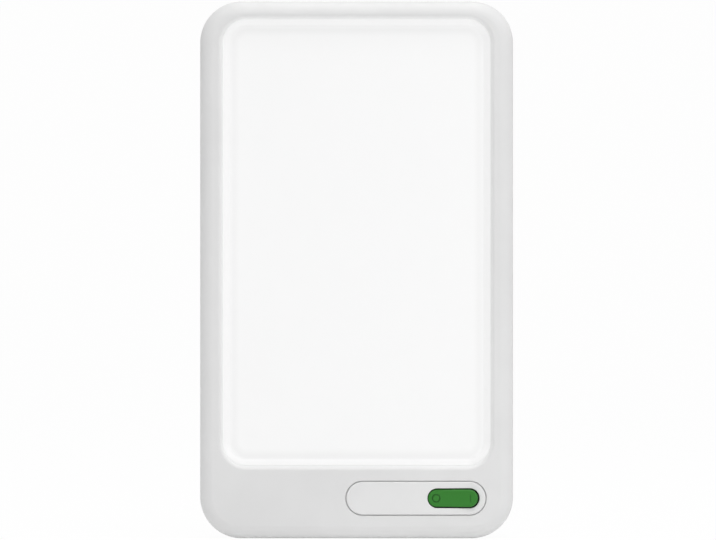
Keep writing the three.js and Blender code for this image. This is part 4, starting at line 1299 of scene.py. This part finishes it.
@dataclass
class RearMoulding:
    """Rear cover: drafted shell with a rounded edge, recess, vents, screw seats and the inlet's window."""

    housing: Housing
    stand: Stand
    inlet: Inlet
    screw: CoverScrew
    back_inset: float = 15
    base_inset: float = 9
    back_round: float = 14
    draft: float = 0.6
    tongue_inset: float = 2.9
    tongue_wall: float = 1.5
    tongue_reach: float = 3
    recess_wall: float = 2.4
    hinge_block_width: float = 7.6
    hinge_block_height: float = 12
    thumb_half: float = 15
    thumb_depth: float = 3.2
    thumb_reach: float = 7
    thumb_round: float = 5
    thumb_wall: float = 1.6
    post_radius: float = 5.2
    vent: float = 3
    vent_pitch: float = 8
    top_vents: int = 13
    top_vent_span: tuple = (299, 327)
    low_vents: int = 4
    low_vent_outer: float = 80
    low_vent_span: tuple = (62, 84)
    clearance: float = 0.3
    shank_bore: float = 1.9
    hinge_bore_reach: float = 6.3
    seat_steps: int = 36
    bore_steps: int = 24
    thumb_steps: int = 8

    def edge(self, skin: float) -> np.ndarray:
        """Rings of the rounded back edge, a quarter ellipse in from the drafted side, for one skin."""
        housing = self.housing
        rise, inset = quarter(housing.rim_steps)
        start = housing.depth - self.back_round
        side = skin + self.draft + inset * (self.back_inset - self.draft - skin)
        base = skin + inset * (self.base_inset - skin)
        return housing.rings(side, base, start + rise * (self.back_round - skin))

    def build(self) -> bpy.types.Object:
        """Lofts the shell with its tongue, adds blocks and posts, and cuts the openings."""
        housing = self.housing
        face = housing.parting + housing.parting_gap
        seam = housing.seam_round
        rise, inset = quarter(housing.seam_steps)
        tongue, reach = self.tongue_inset, self.tongue_reach
        inner = tongue + self.tongue_wall
        rings = np.concatenate([
            housing.rings(self.back_inset + SUPPORT, self.base_inset + SUPPORT, housing.depth),
            self.edge(0)[::-1],
            housing.even(inset * seam, face + (1 - rise) * seam),
            housing.even(
                np.array([tongue, tongue, inner, inner]), face + reach * np.array([0, -1, -1, 1]),
            ),
            self.edge(housing.wall),
        ])
        return moulded(
            "rear_moulding", loft(rings), (Join.ADD, self.recess_block()), (Join.ADD, self.thumb_block()),
            (Join.ADD, merged(*self.posts(), *self.hinge_blocks())),
            (Join.CUT, merged(self.stand.recess(), *self.vents(), self.window())),
            (Join.CUT, merged(self.thumb_groove(), *self.screw_seats(), *self.hinge_bores())),
        )

    def recess_block(self) -> Surface:
        """Thick wall round the stand's recess."""
        half, low, high, start = self.stand.recess_box(self.recess_wall)
        return block(-half, half, start, self.housing.mid_wall, low, high)

    def thumb_block(self) -> Surface:
        """Wall behind and below the thumb scoop."""
        half, high = self.thumb_half + self.thumb_wall, self.stand.recess_box()[1]
        low = high - self.thumb_reach - self.thumb_wall
        start = self.housing.depth - self.thumb_depth - self.thumb_wall
        return block(-half, half, start, self.housing.mid_wall, low, high)

    def hinge_blocks(self) -> list:
        """Blocks at both sides of the recess that hold the hinge pins."""
        edge, _, _, start = self.stand.recess_box()
        inner, outer = edge + self.recess_wall / 2, edge + self.hinge_block_width
        z, half = self.stand.hinge_z, self.hinge_block_height / 2
        start, end = start - self.recess_wall, self.housing.mid_wall
        return [
            block(*sorted((side * inner, side * outer)), start, end, z - half, z + half) for side in (-1, 1)
        ]

    def posts(self) -> list:
        """Posts that meet the front moulding's bosses."""
        housing = self.housing
        return [
            post(self.post_radius, x, z, housing.boss_end, housing.seat + self.screw.head_height)
            for x, z in housing.boss_places()
        ]

    def screw_seats(self) -> list:
        """Stepped bores for the cover screws."""
        housing = self.housing
        hole, bore = self.screw.head_radius + self.clearance, self.shank_bore
        profile = np.array([
            [bore, housing.boss_end - PAST], [bore, housing.seat],
            [hole, housing.seat], [hole, housing.depth + PAST],
        ])
        return [turned(profile, x, z, self.seat_steps) for x, z in housing.boss_places()]

    def hinge_bores(self) -> list:
        """Bores for the hinge pins in the blocks."""
        stand = self.stand
        inner, outer = stand.half + stand.gap - self.clearance, stand.half + self.hinge_bore_reach
        radius = stand.pin_radius + stand.pin_clear
        return side_bars(inner, outer, radius, stand.hinge_depth, stand.hinge_z, self.bore_steps)

    def thumb_groove(self) -> Surface:
        """Shallow scoop at the leg's foot for a thumb."""
        middle = self.stand.recess_box()[1]
        return prism(
            self.thumb_half, middle - self.thumb_reach, middle + self.thumb_reach, self.thumb_round,
            self.housing.depth - self.thumb_depth, self.housing.depth + PAST, 0, self.thumb_steps,
        )

    def vents(self) -> list:
        """Slots with round ends: a row near the top and a group at each side below."""
        half = self.vent / 2
        middle = (self.top_vents - 1) / 2
        places = [((i - middle) * self.vent_pitch, self.top_vent_span) for i in range(self.top_vents)]
        places += [
            (side * (self.low_vent_outer - i * self.vent_pitch), self.low_vent_span)
            for side in (-1, 1) for i in range(self.low_vents)
        ]
        return [prism(half, low, high, half, *self.housing.through(), x) for x, (low, high) in places]

    def window(self) -> Surface:
        """Opening round the mains inlet."""
        inlet, gap = self.inlet, self.clearance
        half, tall = inlet.width / 2 + gap, inlet.height / 2 + gap
        return prism(
            half, inlet.z - tall, inlet.z + tall, inlet.corner + gap, *self.housing.through(), inlet.x,
        )


@dataclass(frozen=True)
class SoftLamp:
    """Square lamp: place, size and the point it is aimed at in metres, power in watts."""

    name: str
    place: tuple
    size: float
    power: float
    aim: tuple = (0, 0, 0.2)

    def build(self) -> None:
        """Sets the lamp up."""
        data = bpy.data.lights.new(self.name, "AREA")
        data.size, data.energy = self.size, self.power
        made = linked(self.name, data)
        made.location = self.place
        made.rotation_euler = (Vector(self.aim) - Vector(self.place)).to_track_quat("-Z", "Y").to_euler()


@dataclass
class Studio:
    """Pale floor and backdrop, soft light and the camera at the photograph's angle.

    Lengths are metres but for the camera's sensor, which is in millimetres.
    """

    camera_x: float = 0.0009
    camera_z: float = 0.1749
    distance: float = 3.0
    view_width: float = 0.4658
    sensor: float = 36
    ambient: float = 0.525
    lamps: tuple = (
        SoftLamp("key", (0.25, -1.0, 2.0), 1.4, 15.5),
        SoftLamp("fill", (0.45, -0.55, 0.12), 0.5, 0.62),
        SoftLamp("top", (0.1, -0.1, 2.2), 1.2, 10.0),
    )
    floor_half: float = 7.0
    floor_front: float = -6.0
    floor_back: float = 4.5
    floor_drop: float = 0.0003
    floor_shade: float = 0.9
    bend: float = 1.2
    bend_steps: int = 15
    backdrop: float = 6.0
    floor_glow: float = 0.97
    bounce_share: float = 0.057
    bounce: float = 3.0

    def background(self, graph: Graph) -> bpy.types.NodeSocket:
        """Share of rays that see the plain background: camera, glossy and transmission rays."""
        rays = graph.node("ShaderNodeLightPath").outputs
        seen = graph.math("MAXIMUM", rays["Is Camera Ray"], rays["Is Glossy Ray"])
        return graph.math("MAXIMUM", seen, rays["Is Transmission Ray"])

    def floor(self) -> None:
        """Floor that bends up into a backdrop, as a profile swept across.

        It glows for the rays that see the background, and sends a little more light up than its own colour
        would for the others.
        """
        rise, inset = quarter(self.bend_steps)
        profile = np.concatenate([
            [[self.floor_front, 0.0]],
            np.stack([self.floor_back + self.bend * rise, self.bend * inset], axis=-1),
            [[self.floor_back + self.bend, self.backdrop]],
        ])
        side = self.floor_half * np.array([[-1, 1]]) + 0 * profile[:, :1]
        back, up = profile[:, :1] + 0 * side, profile[:, 1:] - self.floor_drop + 0 * side
        grid = np.stack([side, back, up], axis=-1)
        index = np.arange(side.size).reshape(-1, 2)
        faces = np.stack([index[:-1, 0], index[:-1, 1], index[1:, 1], index[1:, 0]], axis=-1)
        mesh = bpy.data.meshes.new("studio_floor")
        mesh.from_pydata(grid.reshape(-1, 3).tolist(), [], faces.tolist())
        mesh.shade_smooth()
        made = linked("studio_floor", mesh)
        material = bpy.data.materials.new("studio_floor_finish")
        graph = Graph(material)
        seen = self.background(graph)
        strength = graph.minus(self.bounce, graph.times(seen, self.bounce - 1))
        share = graph.math("ADD", graph.times(seen, self.floor_glow - self.bounce_share), self.bounce_share)
        shade = graph.feed(graph.node("ShaderNodeBsdfDiffuse"), Color=(*(self.floor_shade,) * 3, 1))
        glow = graph.feed(graph.node("ShaderNodeEmission"), Color=(1, 1, 1, 1), Strength=strength)
        both = graph.node("ShaderNodeMixShader")
        graph.feed(both, i0=share, i1=shade.outputs[0], i2=glow.outputs[0])
        graph.feed(graph.node("ShaderNodeOutputMaterial"), Surface=both.outputs[0])
        mesh.materials.append(material)

    def world(self) -> None:
        """Even light from all round, which the camera sees as white."""
        world = bpy.data.worlds.new("studio")
        bpy.context.scene.world = world
        graph = Graph(world)
        light = graph.feed(graph.node("ShaderNodeBackground"), Color=(1, 1, 1, 1), Strength=self.ambient)
        white = graph.feed(graph.node("ShaderNodeBackground"), Color=(1, 1, 1, 1), Strength=1.0)
        both = graph.node("ShaderNodeMixShader")
        graph.feed(both, i0=self.background(graph), i1=light.outputs[0], i2=white.outputs[0])
        graph.feed(graph.node("ShaderNodeOutputWorld"), Surface=both.outputs[0])

    def camera(self) -> None:
        """Level camera straight in front of the lamp."""
        data = bpy.data.cameras.new("camera")
        data.sensor_width = self.sensor
        data.lens = self.sensor * self.distance / self.view_width
        made = linked("camera", data)
        made.location = (self.camera_x, FRONT_Y - self.distance, self.camera_z)
        made.rotation_euler = (math.pi / 2, 0, 0)
        bpy.context.scene.camera = made

    def build(self) -> None:
        """Sets the whole studio."""
        self.camera()
        self.floor()
        self.world()
        for lamp in self.lamps:
            lamp.build()
        bpy.context.scene.view_settings.view_transform = "Standard"


def corners(box: tuple) -> list:
    """Plain lists of a box's two corners."""
    return [list(map(float, corner)) for corner in box]


def main() -> None:
    """Builds the studio and the lamp's pieces in order."""
    logging.basicConfig(level=logging.INFO, format="%(name)s: %(message)s", force=True)
    Studio().build()
    wardrobe = Wardrobe()
    wardrobe.dress_nodes()
    housing, lip, rocker = Housing(), Lip(), Rocker()
    controls = Controls(rocker)
    stand, inlet, screw = Stand(housing), Inlet(housing), CoverScrew(housing)
    rear = RearMoulding(housing, stand, inlet, screw)
    wardrobe.dress(FrontMoulding(housing, lip, controls).build(), "housing", "lamp", "front_frame")
    wardrobe.dress(rear.build(), "cover", "lamp", "rear_cover")
    wardrobe.dress(OpalPanel(housing, lip).build(), "panel", "lamp", "diffuser_panel")
    wardrobe.dress(controls.plate(), "plate", "lamp", "control_plate")
    wardrobe.dress(rocker.build(), "switch", "rocker", "rocker_cap")
    wardrobe.dress(stand.leg(), "cover", "stand", "stand_leg")
    for index in (1, 2, 3):
        wardrobe.dress(LampGlass().build(index), "lamp_glass", "lamp", f"lamp_tube_{index}")
    wardrobe.dress(inlet.shell(), "black_plastic", "lamp", "inlet_socket")
    for number, side in ((1, -1), (2, 1)):
        wardrobe.dress(inlet.pin(side), "steel", "lamp", f"inlet_pin_{number}")
    for number, (x, z) in enumerate(housing.boss_places(), 1):
        wardrobe.dress(screw.build(number, x, z), "steel", "lamp", f"cover_screw_{number}")


if __name__ == "__main__":
    main()
